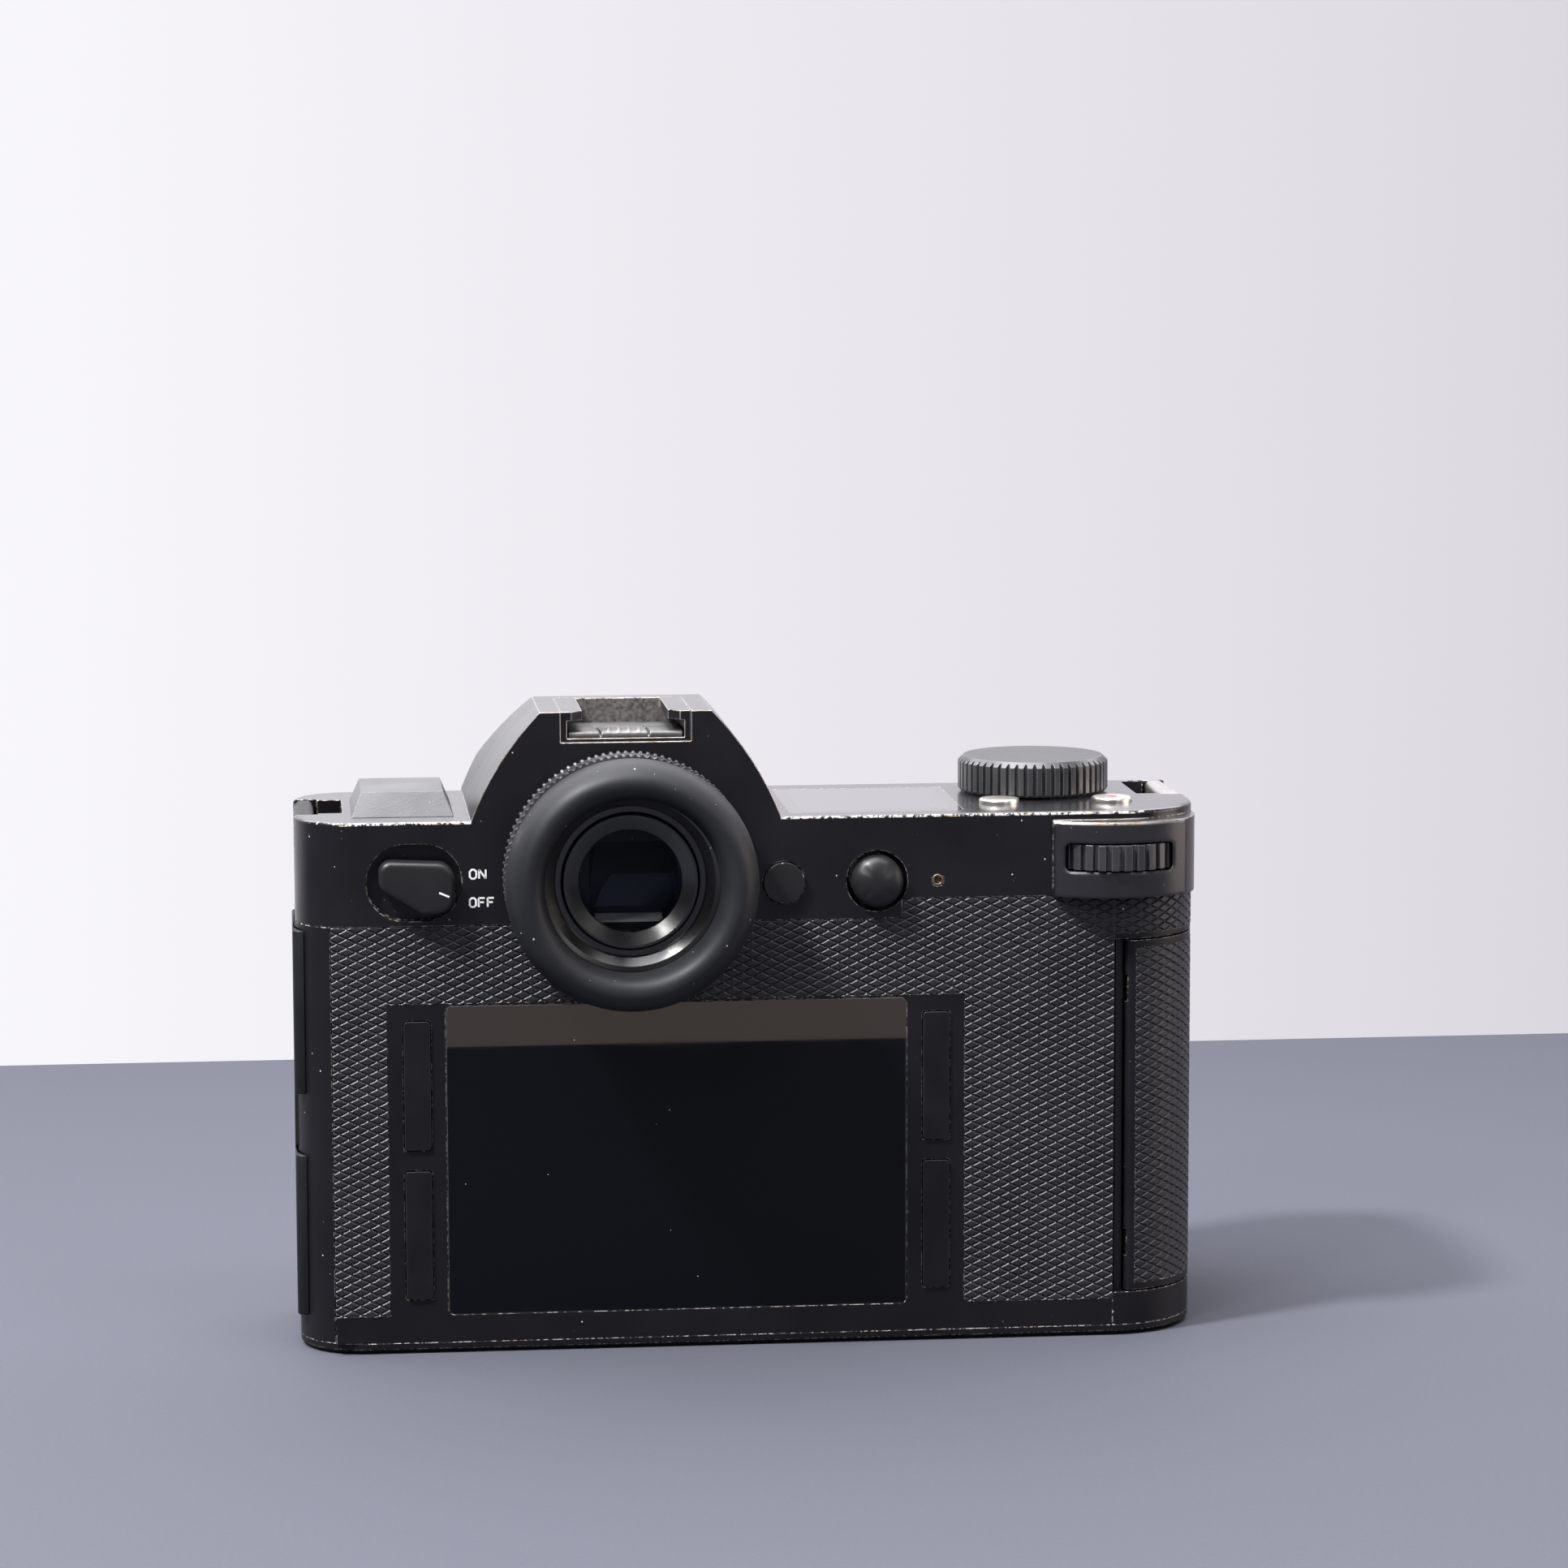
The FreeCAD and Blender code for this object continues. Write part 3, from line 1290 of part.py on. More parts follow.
def battery_bay():
    body = new_body("battery_bay")
    top = d.battery_low + d.battery_tall + d.seam
    add(body, "z", d.base_thick, top + d.bay_wall, battery_box(d.slip + d.bay_wall))
    cut(body, "z", d.base_thick, top, battery_box(d.slip))
    tongue = rectangle(d.battery_y - 4.1, d.battery_y + 4.1, d.base_thick, d.battery_low - 0.1)
    cut(body, "x", d.battery_x, hatch_right + 1, tongue)
    return body


def battery_hatch():
    body = new_body("battery_hatch")
    y0, y1 = hatch_back + d.slip, hatch_front - d.slip
    leaf = rectangle(hatch_axis_x, hatch_right - d.slip, y0, y1)
    add(body, "z", d.seam, d.base_thick - d.seam, leaf)
    add(body, "y", y0, y1, circle(hatch_axis_x, hatch_axis_z, hatch_radius))
    rib = rectangle(hatch_right - 10.4, hatch_right - 1.2, d.battery_y - 6, d.battery_y + 6)
    add(body, "z", d.base_thick - d.seam, d.base_thick + 0.9, rib)
    cut(body, "y", y0 - 1, y1 + 1, circle(hatch_axis_x, hatch_axis_z, d.hinge_pin + d.shaft_slip))
    slot = rectangle(hatch_right - 7.2, hatch_right - 1.8, d.battery_y - 2.2, d.battery_y + 2.2)
    cut(body, "z", -1, d.base_thick + 2, slot)
    return body


def battery_latch():
    body = new_body("battery_latch")
    knob_right = hatch_right - 2.0
    knob = rectangle(knob_right - 2.5, knob_right, d.battery_y - 2, d.battery_y + 2)
    add(body, "z", d.slip, d.base_thick + 1.1, knob)
    tongue = rectangle(hatch_right - 8.4, hatch_right - 0.4, d.battery_y - 3.8, d.battery_y + 3.8)
    add(body, "z", d.base_thick + 1.0, d.base_thick + 2.0, tongue)
    return body


def hatch_pin():
    body = new_body("hatch_pin")
    pin = circle(hatch_axis_x, hatch_axis_z, d.hinge_pin)
    add(body, "y", hatch_back - d.bar_seat + d.seam, hatch_front + d.bar_seat - d.seam, pin)
    return body


# Ports


def port_covers():
    """Two cover flaps, each with a round front edge on which it turns."""
    x0 = -d.body_left - d.cover_proud
    half = d.cover_thick / 2
    y0, y1 = -d.port_half + d.slip, d.port_half - d.slip
    for name, low, high in (("upper", d.port_split_high, d.port_high - d.seam),
                            ("lower", d.port_low + d.seam, d.port_split_low)):
        body = new_body("port_cover_" + name)
        add(body, "z", low, high, rectangle(x0, x0 + d.cover_thick, y0, y1 - half))
        add(body, "z", low, high, circle(x0 + half, y1 - half, half))


def port_panel():
    body = new_body("port_panel")
    x0 = -d.body_left + d.wall
    plate = rectangle(-d.corner_left + 1.5, d.port_half + 1, d.port_low - 1.5, d.port_high + 0.8)
    add(body, "x", x0, x0 + 5, plate)
    # The fixed bridge between the two covers
    low, high = d.port_split_low + d.seam, d.port_split_high - d.seam
    half = d.port_half - d.seam
    add(body, "x", -d.body_left - d.cover_proud, x0, rectangle(-half, half, low, high, 1.0))
    sockets = [
        rectangle(-1.7, 1.7, 10.0, 19.2, 1.2), rectangle(-1.8, 1.8, 21.5, 28.5, 0.4),
        rectangle(-4.5, 3.0, 45.5, 49.5, 0.4),
    ]
    cut(body, "x", x0 - 1, x0 + 4, several(*sockets))
    jacks = [circle(zero, z, d.jack_radius) for z in JACKS]
    cut(body, "x", x0 - 1, x0 + 4, several(*jacks))
    return body


# Inner works


def chassis():
    body = new_body("chassis")
    left, right = -d.body_left + d.wall + 5.1, d.plate_right - 35.5
    plate_front = d.chassis_thick - d.chassis_back
    plate = rectangle(left, right, d.base_thick, finder_low - 0.5)
    add(body, "y", -d.chassis_back, plate_front, plate)
    foot = rectangle(-d.tripod_disc - 3, d.tripod_disc + 3, d.base_thick, d.tripod_deep + 3)
    cut(body, "y", -d.chassis_back - 1, plate_front + 1, foot)
    posts = [circle(x, z, d.post_radius)
             for x in (-d.post_left, d.post_right) for z in (d.post_low, d.post_high)]
    add(body, "y", -d.board_back, -d.chassis_back, several(*posts))
    carrier = rectangle(-d.carrier_half, d.carrier_half,
                        d.mount_z - d.carrier_below, d.mount_z + d.carrier_above, 2.0)
    add(body, "y", plate_front, sensor_plane - d.sensor_thick, carrier)
    return body


def main_board():
    body = new_body("main_board")
    board_face = -d.board_back - d.board_thick
    board = rectangle(-d.board_left, d.board_right, d.board_low, d.board_high, 1.0)
    add(body, "y", board_face, -d.board_back, board)
    chips = several(rectangle(-d.chip_left, d.chip_right, d.chip_low, d.chip_high),
                    rectangle(d.memory_left, d.memory_right, d.memory_low, d.memory_high))
    add(body, "y", board_face - d.chip_thick, board_face, chips)
    return body


def sensor():
    body = new_body("sensor")
    package = rectangle(-d.sensor_half_wide, d.sensor_half_wide,
                        d.mount_z - d.sensor_half_tall, d.mount_z + d.sensor_half_tall)
    add(body, "y", sensor_plane - d.sensor_thick, sensor_plane - d.pane_thick, package)
    half_wide, half_tall = d.gate_half_wide + 0.5, d.gate_half_tall + 0.5
    pane = rectangle(-half_wide, half_wide, d.mount_z - half_tall, d.mount_z + half_tall)
    add(body, "y", sensor_plane - d.pane_thick, sensor_plane, pane)
    return body


def shutter_frame():
    body = new_body("shutter_frame")
    low, high = d.mount_z - d.shutter_below, d.mount_z + d.shutter_above
    start = sensor_plane + 0.4
    add(body, "y", start, baffle_back, rectangle(-d.shutter_half, d.shutter_half, low, high))
    window = rectangle(-d.gate_half_wide - 0.5, d.gate_half_wide + 0.5,
                       d.mount_z - d.gate_half_tall - 0.4, d.mount_z + d.gate_half_tall + 0.4)
    cut(body, "y", start - 1, baffle_back + 1, window)
    room_half = d.blade_half + d.slip
    room = rectangle(-room_half, room_half, start + 0.6, baffle_back - 0.75)
    cut(body, "z", low + 1.5, high - 2.2, room)
    return body


def shutter_blades():
    start = sensor_plane + 0.4 + 0.6 + d.blade_gap
    top = d.mount_z - d.gate_half_tall - 0.9
    for number in range(3):
        body = new_body("shutter_blade_%d" % (number + 1))
        place_y = start + number * (d.blade_thick + d.blade_gap)
        blade = rectangle(-d.blade_half, d.blade_half, top - d.blade_tall, top)
        add(body, "y", place_y, place_y + d.blade_thick, blade)


def cover_screws():
    """The visible screw heads: those of the lens mount and those of the base."""
    body = new_body("cover_screws")
    heads = [circle(x, z + d.mount_z, d.screw_head) for x, z in MOUNT_SCREWS]
    add(body, "y", flange - d.screw_thick, flange, several(*heads))
    heads = [circle(x, y, d.screw_head) for x, y in BASE_SCREWS]
    add(body, "z", d.seam / 2, d.screw_thick, several(*heads))
    return body


def tripod_socket():
    body = new_body("tripod_socket")
    add(body, "z", zero, d.base_thick, circle(zero, zero, d.tripod_disc))
    add(body, "z", d.base_thick, d.base_thick + 1.6, circle(zero, zero, d.tripod_disc + 2))
    add(body, "z", d.base_thick + 1.6, d.tripod_deep + 1.5, circle(zero, zero, 6.0))
    cut(body, "z", -1, d.tripod_deep, circle(zero, zero, d.tripod_radius))
    return body


# Screw places, in the plane of each plate

BASE_SCREWS = [(-44.0, -10.0), (-44.0, 9.0), (-22.0, 13.0), (24.0, -13.5), (56.0, 13.0), (86.0, -5.0)]
MOUNT_SCREWS = [
    (d.screw_orbit * cosine(Size.of(angle)), d.screw_orbit * sine(Size.of(angle)))
    for angle in (40, 140, 215, 270)]
JACKS = [55.0, 62.5]


# The camera, piece by piece

PIECES = [
    front_shell, top_cover, back_plate, bottom_plate, leather_rear, leather_front, antenna_cover,
    eyepiece_barrel, dioptre_ring, eyecup, eyepiece_lens, finder_housing,
    shoe_rails, shoe_spring, lcd_glass, lcd_panel, screen_keys,
    power_lever, finder_key, control_board, joystick, thumb_wheel, thumb_wheel_axle,
    top_dial, deck_keys, top_display, shutter_button, strap_bars,
    mount_ring, light_baffle, mount_contacts, lens_release, cover_screws, tripod_socket,
    card_door, leather_door, card_hinge_slide, card_bay,
    battery, battery_bay, battery_hatch, battery_latch, hatch_pin, port_covers, port_panel,
    chassis, main_board, sensor, shutter_frame, shutter_blades,
]
for make in PIECES:
    make()

doc.recompute()
faults = [item.Label for item in doc.Objects if {"Invalid", "Error"} & set(item.State)]
for body in NODES:
    shape = body.Shape
    if shape.isNull() or not shape.isValid() or not shape.Solids:
        faults.append(body.Label)
if faults:
    raise SystemExit("These failed: " + ", ".join(faults))
for body in NODES:
    body.Shape.exportStep("parts/%s.step" % body.Label)
print(len(NODES), "pieces written")
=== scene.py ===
import math
import random

import bmesh
import bpy
from mathutils import Matrix, Vector, geometry


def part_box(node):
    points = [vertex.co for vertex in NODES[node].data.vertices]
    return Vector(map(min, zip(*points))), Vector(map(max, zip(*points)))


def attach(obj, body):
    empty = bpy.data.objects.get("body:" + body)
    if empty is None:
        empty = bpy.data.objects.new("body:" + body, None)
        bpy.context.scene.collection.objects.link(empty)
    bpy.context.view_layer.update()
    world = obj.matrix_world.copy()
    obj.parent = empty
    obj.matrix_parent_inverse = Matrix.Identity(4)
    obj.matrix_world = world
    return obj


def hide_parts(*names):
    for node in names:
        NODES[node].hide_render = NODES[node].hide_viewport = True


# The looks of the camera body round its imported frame. Lengths in the tables are millimetres.

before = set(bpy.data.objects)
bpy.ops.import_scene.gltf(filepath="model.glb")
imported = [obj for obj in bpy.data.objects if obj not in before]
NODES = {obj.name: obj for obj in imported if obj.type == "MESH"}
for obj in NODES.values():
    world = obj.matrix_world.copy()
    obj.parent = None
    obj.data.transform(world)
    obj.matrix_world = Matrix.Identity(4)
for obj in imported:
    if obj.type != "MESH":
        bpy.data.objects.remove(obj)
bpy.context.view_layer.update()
MM = 0.001
scene = bpy.context.scene

# Places that several pieces share. A pair is x and z, seen from behind
FAR = 1000.0
BACK = -19.5
FRONT = 19.5
EYE = (0.0, 77.8)
STICK = (40.4, 75.95)
LEVER = (-33.5, 76.7)
STATUS_LAMP = (50.24, 75.95)
MOUNT = (0.0, 44.0)


# Materials


class Shader:
    """A material, with short calls for the nodes that feed its surface."""

    def __init__(self, name, **sockets):
        self.material = bpy.data.materials.new(name)
        self.material.use_nodes = True
        self.tree = self.material.node_tree
        self.surface = self.tree.nodes["Principled BSDF"]
        self.place = self.node("ShaderNodeTexCoord").outputs["Object"]
        self.set(**sockets)

    def set(self, **sockets):
        for name, value in sockets.items():
            self.feed(self.surface.inputs[name.replace("_", " ")], value)

    def feed(self, socket, value):
        if isinstance(value, bpy.types.NodeSocket):
            self.tree.links.new(value, socket)
        elif value is not None:
            if socket.type == "RGBA" and len(value) == 3:
                value = (*value, 1.0)
            socket.default_value = value

    def node(self, kind, inputs=(), **settings):
        made = self.tree.nodes.new(kind)
        for name, value in settings.items():
            setattr(made, name, value)
        for key, value in dict(inputs).items():
            self.feed(made.inputs[key], value)
        return made

    def math(self, operation, a, b=None):
        return self.node("ShaderNodeMath", {0: a, 1: b}, operation=operation).outputs[0]

    def product(self, *values):
        result = values[0]
        for value in values[1:]:
            result = self.math("MULTIPLY", result, value)
        return result

    def spread(self, value, low, high, to_low=0.0, to_high=1.0):
        """The value, mapped from low..high to to_low..to_high and held there."""
        inputs = {0: value, 1: low, 2: high, 3: to_low, 4: to_high}
        return self.node("ShaderNodeMapRange", inputs).outputs[0]

    def mix(self, factor, a, b):
        made = self.node("ShaderNodeMix", data_type="RGBA")
        self.feed(made.inputs[0], factor)
        self.feed(made.inputs[6], a)
        self.feed(made.inputs[7], b)
        return made.outputs[2]

    def noise(self, size, detail=3.0, stretch=(1, 1, 1)):
        """Cloudy noise with features about size mm across."""
        place = self.place
        if stretch != (1, 1, 1):
            place = self.node("ShaderNodeMapping", {0: place, 3: stretch}).outputs[0]
        inputs = {"Vector": place, "Scale": 1.0 / (size * MM), "Detail": detail, "Roughness": 0.55}
        return self.node("ShaderNodeTexNoise", inputs).outputs[0]

    def specks(self, size, share):
        """Dust of uneven size, about size mm apart, on that share of the places."""
        inputs = {"Vector": self.place, "Scale": 1.0 / (size * MM)}
        cells = self.node("ShaderNodeTexVoronoi", inputs)
        draw = self.node("ShaderNodeSeparateColor", {0: cells.outputs["Color"]})
        reach = self.spread(draw.outputs[1], 0.0, 1.0, 0.03, 0.10)
        near = self.math("LESS_THAN", cells.outputs["Distance"], reach)
        return self.product(near, self.math("LESS_THAN", draw.outputs[0], share))

    def round_edges(self, radius):
        """Sets the normal that the shape has if every edge is rounded by the radius."""
        self.soft = self.node("ShaderNodeBevel", {0: radius}, samples=4).outputs[0]
        self.set(Normal=self.soft)

    def edges(self, low=0.985, high=0.90):
        """How near an edge of the shape a point lies, from 0 to 1."""
        plain = self.node("ShaderNodeNewGeometry").outputs["Normal"]
        turned = self.node("ShaderNodeVectorMath", {0: self.soft, 1: plain}, operation="DOT_PRODUCT")
        return self.spread(turned.outputs["Value"], low, high)

    def axis(self, letter, source=None):
        """The x, y or z of the place, in metres, or of another vector."""
        parts = self.node("ShaderNodeSeparateXYZ", {0: source or self.place})
        return parts.outputs["xyz".index(letter)]

    def ramp(self, letter, low, high, to_low=0.0, to_high=1.0):
        """The spread of a place that runs from low to high mm along an axis."""
        return self.spread(self.axis(letter), low * MM, high * MM, to_low, to_high)

    def within(self, letter, low, high):
        """1 where the place lies between low and high mm along an axis, 0 elsewhere."""
        place = self.axis(letter)
        above = self.math("GREATER_THAN", place, low * MM)
        return self.product(above, self.math("LESS_THAN", place, high * MM))

    def bump(self, height, strength, distance):
        """Relief on top of the rounded edges."""
        inputs = {"Strength": strength, "Distance": distance * MM, "Height": height, "Normal": self.soft}
        self.set(Normal=self.node("ShaderNodeBump", inputs).outputs[0])

    def dusty(self, shade, size, share):
        return self.mix(self.specks(size, share), shade, DUST)


DUST = (0.50, 0.50, 0.53)
SHOE_DUST = (0.17, 0.16, 0.155)
BARE = (0.74, 0.71, 0.68)
BRASS = (0.56, 0.44, 0.30)

# Where the wear of the top cover changes, from the first of two places to the second
REAR_RIM_Z = (84.2, 84.9)
REAR_RIM_Y = (-18.4, -19.2)
HUMP_FOOT_Z = (87.5, 88.5)
DECK_EDGE_Z = (85.9, 86.75)
HOUSING_Y = (-19.55, -19.75)
HOUSING_ROUND = 0.9
HOUSING_FACE_Y = -19.56
HOUSING_TOP_Z = (84.9, 84.5)
SHOE_WALL_Z = (99.2, 99.8)
SHOE_WALL_HALF = 10.6
SHOE_WALL_Y = -3.0


def scaled(colour, factor, lift=0.0):
    return tuple(factor * part + lift for part in colour)


def cover_wear(made, worn, rubbed, chips, up, level):
    """The wear of the top cover: bright on the round edge of the deck, hardly any on the wheel's housing."""
    tilt = made.spread(made.product(up, made.math("SUBTRACT", 1.0, up)), 0.13, 0.19)
    round_wear = made.product(tilt, made.within("z", *DECK_EDGE_Z), made.spread(chips, 0.585, 0.67))
    housing = made.within("y", -FAR, HOUSING_FACE_Y)
    spared = made.math("SUBTRACT", 1.0, made.product(housing, made.ramp("z", *HOUSING_TOP_Z)))
    made.set(Specular_IOR_Level=made.math("ADD", level, made.product(housing, 0.5)))
    # Faces that look up are polished by use
    made.set(Coat_Weight=made.spread(up, 0.35, 0.75), Coat_Roughness=0.18)
    return made.math("MAXIMUM", made.product(worn, spared), round_wear), made.product(rubbed, spared)


def shoe_dust(made, chips, up):
    """How dusty a place is on the far wall of the accessory shoe."""
    wall = made.product(made.ramp("z", *SHOE_WALL_Z), made.within("x", -SHOE_WALL_HALF, SHOE_WALL_HALF))
    wall = made.product(wall, made.math("LESS_THAN", up, 0.5), made.within("y", SHOE_WALL_Y, FAR))
    return made.product(wall, made.spread(chips, 0.35, 0.75, 0.25, 1.0))


def painted(name, colour, rough, wear, dust=0.10, radius=0.22, cover=False, level=0.36):
    """Matt paint on metal: fine grain, rubbed edges with bare chips, and a little dust."""
    made = Shader(name, Specular_IOR_Level=level)
    radius *= MM
    if cover:
        radius = made.ramp("y", *HOUSING_Y, radius, HOUSING_ROUND * MM)
    made.round_edges(radius)
    cloud = made.noise(14.0)
    fine = made.noise(0.14, 2.0)
    chips = made.noise(0.55, 4.0)
    limit = 0.60 - wear
    if cover:
        # Heavier wear where hands and straps rub: the upper edges of the back and the finder hump
        rubs = made.product(made.ramp("z", *REAR_RIM_Z), made.ramp("y", *REAR_RIM_Y), 0.13)
        chips = made.math("ADD", chips, rubs)
        chips = made.math("ADD", chips, made.product(made.ramp("z", *HUMP_FOOT_Z), 0.05))
    worn = made.product(made.edges(), made.spread(chips, limit, limit + 0.06))
    rubbed = made.product(made.edges(0.998, 0.95), 0.30)
    if cover:
        up = made.axis("z", made.node("ShaderNodeNewGeometry").outputs["Normal"])
        worn, rubbed = cover_wear(made, worn, rubbed, chips, up, level)
    shade = made.mix(made.spread(cloud, 0.35, 0.7), colour, scaled(colour, 1.4))
    shade = made.mix(rubbed, shade, scaled(colour, 3.0, 0.012))
    if cover:
        shade = made.mix(shoe_dust(made, chips, up), shade, SHOE_DUST)
    shade = made.dusty(shade, 1.3, dust)
    shade = made.dusty(shade, 0.7, 0.4 * dust)
    shade = made.mix(worn, shade, made.mix(made.spread(made.noise(2.5), 0.5, 0.62), BARE, BRASS))
    gloss = made.spread(cloud, 0.3, 0.7, rough - 0.04, rough + 0.05)
    made.set(Base_Color=shade, Roughness=made.math("SUBTRACT", gloss, made.product(worn, 0.08)))
    made.set(Metallic=made.product(worn, 0.45))
    made.bump(fine, 0.30, 0.012)
    return made.material


def metal(name, colour, rough, brushed=(1, 1, 1), size=0.3, dirt=0.35, black_left=False):
    """Bare metal with brushing along one direction and patches of dull grime."""
    made = Shader(name, Metallic=1.0)
    made.round_edges(0.14 * MM)
    lines = made.noise(size, 2.0, brushed)
    cloud = made.noise(5.0)
    shade = made.mix(made.spread(cloud, 0.4, 0.75, 0.0, dirt), colour, scaled(colour, 0.35))
    if black_left:
        # The left one of a pair is still painted black
        shade = made.mix(made.within("x", -FAR, 0.0), shade, (0.02, 0.02, 0.022))
    shade = made.mix(made.edges(), shade, tuple(min(1.0, part) for part in scaled(colour, 1.35)))
    made.set(Base_Color=shade, Roughness=made.spread(lines, 0.3, 0.7, rough - 0.08, rough + 0.1))
    made.bump(lines, 0.12, 0.02)
    return made.material


def moulded(name, colour, rough, size=0.25, deep=0.02, lift=2.2, dust=0.03, level=0.4):
    """Moulded plastic or rubber with its fine texture, edges painted paler (rubbed wear, and painted
    highlight where the lift is large) and dust.
    """
    made = Shader(name, Specular_IOR_Level=level)
    made.round_edges(0.16 * MM)
    grain = made.noise(size, 3.0)
    cloud = made.noise(9.0)
    shade = made.mix(made.spread(cloud, 0.35, 0.7), colour, scaled(colour, 1.4))
    # Paler edges: rubbed wear, and where the lift is large, a painted highlight along the edges
    shade = made.mix(made.edges(0.99, 0.9), shade, scaled(colour, lift))
    shade = made.dusty(shade, 1.8, dust)
    shade = made.dusty(shade, 0.8, 0.35 * dust)
    made.set(Base_Color=shade, Roughness=made.spread(cloud, 0.3, 0.7, rough - 0.06, rough + 0.06))
    made.bump(grain, 0.5, deep)
    return made.material


def leather():
    """Embossed covering: black grain, with the edges of its diamonds painted paler: a little rubbed wear,
    mostly painted highlight.
    """
    made = Shader("leather_black", Specular_IOR_Level=0.45)
    made.round_edges(0.07 * MM)
    grain = made.noise(0.16, 4.0)
    cloud = made.noise(11.0)
    shade = made.mix(made.spread(cloud, 0.35, 0.7), (0.009, 0.0088, 0.0115), (0.017, 0.0165, 0.0205))
    shade = made.mix(made.spread(grain, 0.5, 0.8, 0.0, 0.5), shade, (0.035, 0.035, 0.040))
    # Painted highlight: the diamonds' edges are painted pale, as if light caught them from every side
    shade = made.mix(made.product(made.edges(0.97, 0.88), 0.85), shade, (0.145, 0.143, 0.160))
    shade = made.dusty(shade, 2.3, 0.04)
    made.set(Base_Color=shade, Roughness=made.spread(grain, 0.3, 0.7, 0.34, 0.52))
    made.bump(grain, 0.55, 0.04)
    return made.material


def glass(name, colour, rough=0.03, level=0.5, dust=0.05, smear=0.05, coat=0.0):
    """A dark pane: almost a mirror, with faint smears, dust and a painted highlight along its edges."""
    made = Shader(name, Specular_IOR_Level=level, Coat_Weight=coat)
    made.round_edges(0.12 * MM)
    smears = made.spread(made.noise(16.0, 2.0), 0.45, 0.8, rough, rough + smear)
    shade = made.dusty(colour, 2.2, dust)
    # Painted highlight: a pale line along the pane's edges
    shade = made.mix(made.edges(), shade, (0.22, 0.22, 0.23))
    made.set(Base_Color=shade, Roughness=smears)
    return made.material


def lens_glass(name):
    """Coated lens glass: mostly clear, with a weak bluish reflection."""
    made = Shader(name, Alpha=0.24, Specular_IOR_Level=0.5)
    made.set(Specular_Tint=(0.60, 0.75, 1.0, 1.0))
    made.set(Base_Color=made.mix(made.noise(9.0), (0.003, 0.004, 0.006), (0.004, 0.006, 0.009)))
    made.set(Roughness=made.spread(made.noise(4.0), 0.5, 0.8, 0.02, 0.06))
    return made.material


def paint(name, colour, rough=0.45):
    """Ink or filled lettering, a little uneven."""
    made = Shader(name, Roughness=rough)
    made.set(Base_Color=made.mix(made.spread(made.noise(0.4), 0.45, 0.8), colour, scaled(colour, 0.72)))
    return made.material


def circuit():
    """Green board with a mesh of tracks."""
    made = Shader("circuit_green")
    tracks = made.node("ShaderNodeTexBrick", {
        "Vector": made.place, "Color1": (0.010, 0.060, 0.030, 1), "Color2": (0.014, 0.075, 0.036, 1),
        "Mortar": (0.16, 0.13, 0.05, 1), "Scale": 160.0, "Mortar Size": 0.012})
    made.set(Base_Color=tracks.outputs[0], Roughness=made.spread(made.noise(2.0), 0.3, 0.7, 0.32, 0.5))
    return made.material


BLACK = (0.0062, 0.0057, 0.0076)
METALS = {
    "body": painted("body_black", BLACK, 0.42, 0.10, level=0.22),
    "top": painted("top_black", BLACK, 0.30, 0.12, 0.16, radius=0.3, cover=True),
    "plain": painted("plain_black", (0.011, 0.011, 0.012), 0.38, 0.03),
    "bright": metal("bright_steel", (0.58, 0.56, 0.53), 0.28),
    "strap": metal("strap_steel", (0.60, 0.58, 0.56), 0.34, black_left=True),
    "silver": metal("silver_cap", (0.66, 0.64, 0.60), 0.34, (1, 30, 1), 0.5, 0.15),
    "mount": metal("mount_steel", (0.70, 0.69, 0.67), 0.24, dirt=0.15),
    "spring": metal("spring_steel", (0.17, 0.168, 0.165), 0.46, (6, 1, 1), 0.4, 0.8),
    "aluminium": metal("frame_aluminium", (0.50, 0.50, 0.51), 0.42),
    "rim": metal("lamp_rim", (0.30, 0.24, 0.19), 0.40),
    "gold": metal("gold_contact", (0.85, 0.62, 0.28), 0.22),
}
PLASTICS = {
    "matt": moulded("matt_black", (0.011, 0.011, 0.012), 0.50),
    "textured": moulded("textured_grey", (0.060, 0.060, 0.064), 0.36, 0.25, 0.05, 1.8, 0.03, 0.9),
    "gloss": moulded("gloss_black", (0.004, 0.004, 0.0045), 0.28, 0.5, 0.006, level=1.0),
    # The large lifts of the dial and the keys paint a highlight along their edges
    "dial": moulded("dial_black", (0.026, 0.026, 0.028), 0.30, 0.5, 0.006, 5.0, 0.02, 0.8),
    "key": moulded("key_black", (0.006, 0.006, 0.007), 0.40, 0.2, 0.01, 12.0, level=0.25),
    "rubber": moulded("rubber_black", (0.0105, 0.0110, 0.0130), 0.53, 0.10, 0.015, 1.4, 0.16, 0.30),
    "cap": moulded("cap_black", (0.010, 0.010, 0.011), 0.42, 0.3, 0.008, 1.6, 0.02, 0.35),
    "cover": moulded("cover_rubber", (0.0065, 0.0075, 0.0088), 0.50, 0.3, 0.03, 2.6, 0.08, 0.26),
    # The finder sill is painted near white: painted light for the bright bar at the foot of the finder
    # window
    "sill": moulded("sill_painted_light", (0.75, 0.75, 0.77), 0.50, 0.2, 0.02, 1.2, 0.05),
}
LEATHER = leather()
PANE = glass("screen_glass", (0.0025, 0.0028, 0.0045), 0.015, 0.17, 0.08, 0.02)
DISPLAY = glass("display_glass", (0.010, 0.010, 0.012), 0.04, 0.9, 0.02, coat=1.0)
WINDOW = glass("display_window", (0.03, 0.03, 0.035), 0.10, 0.9, 0.02, coat=1.0)
SENSOR = glass("sensor_glass", (0.030, 0.020, 0.045), 0.06, 0.9)
LENS = lens_glass("eyepiece_glass")
# Painted reflection: a bluish colour for the glare patch on the finder display
GLARE = glass("finder_painted_glare", (0.004, 0.018, 0.050), 0.10, 0.5, 0.02)
WHITE = paint("white_ink", (0.86, 0.86, 0.84))
RED = paint("red_ink", (0.75, 0.06, 0.04))
LAMP = paint("lamp_lens", (0.05, 0.03, 0.02), 0.12)
CIRCUIT = circuit()

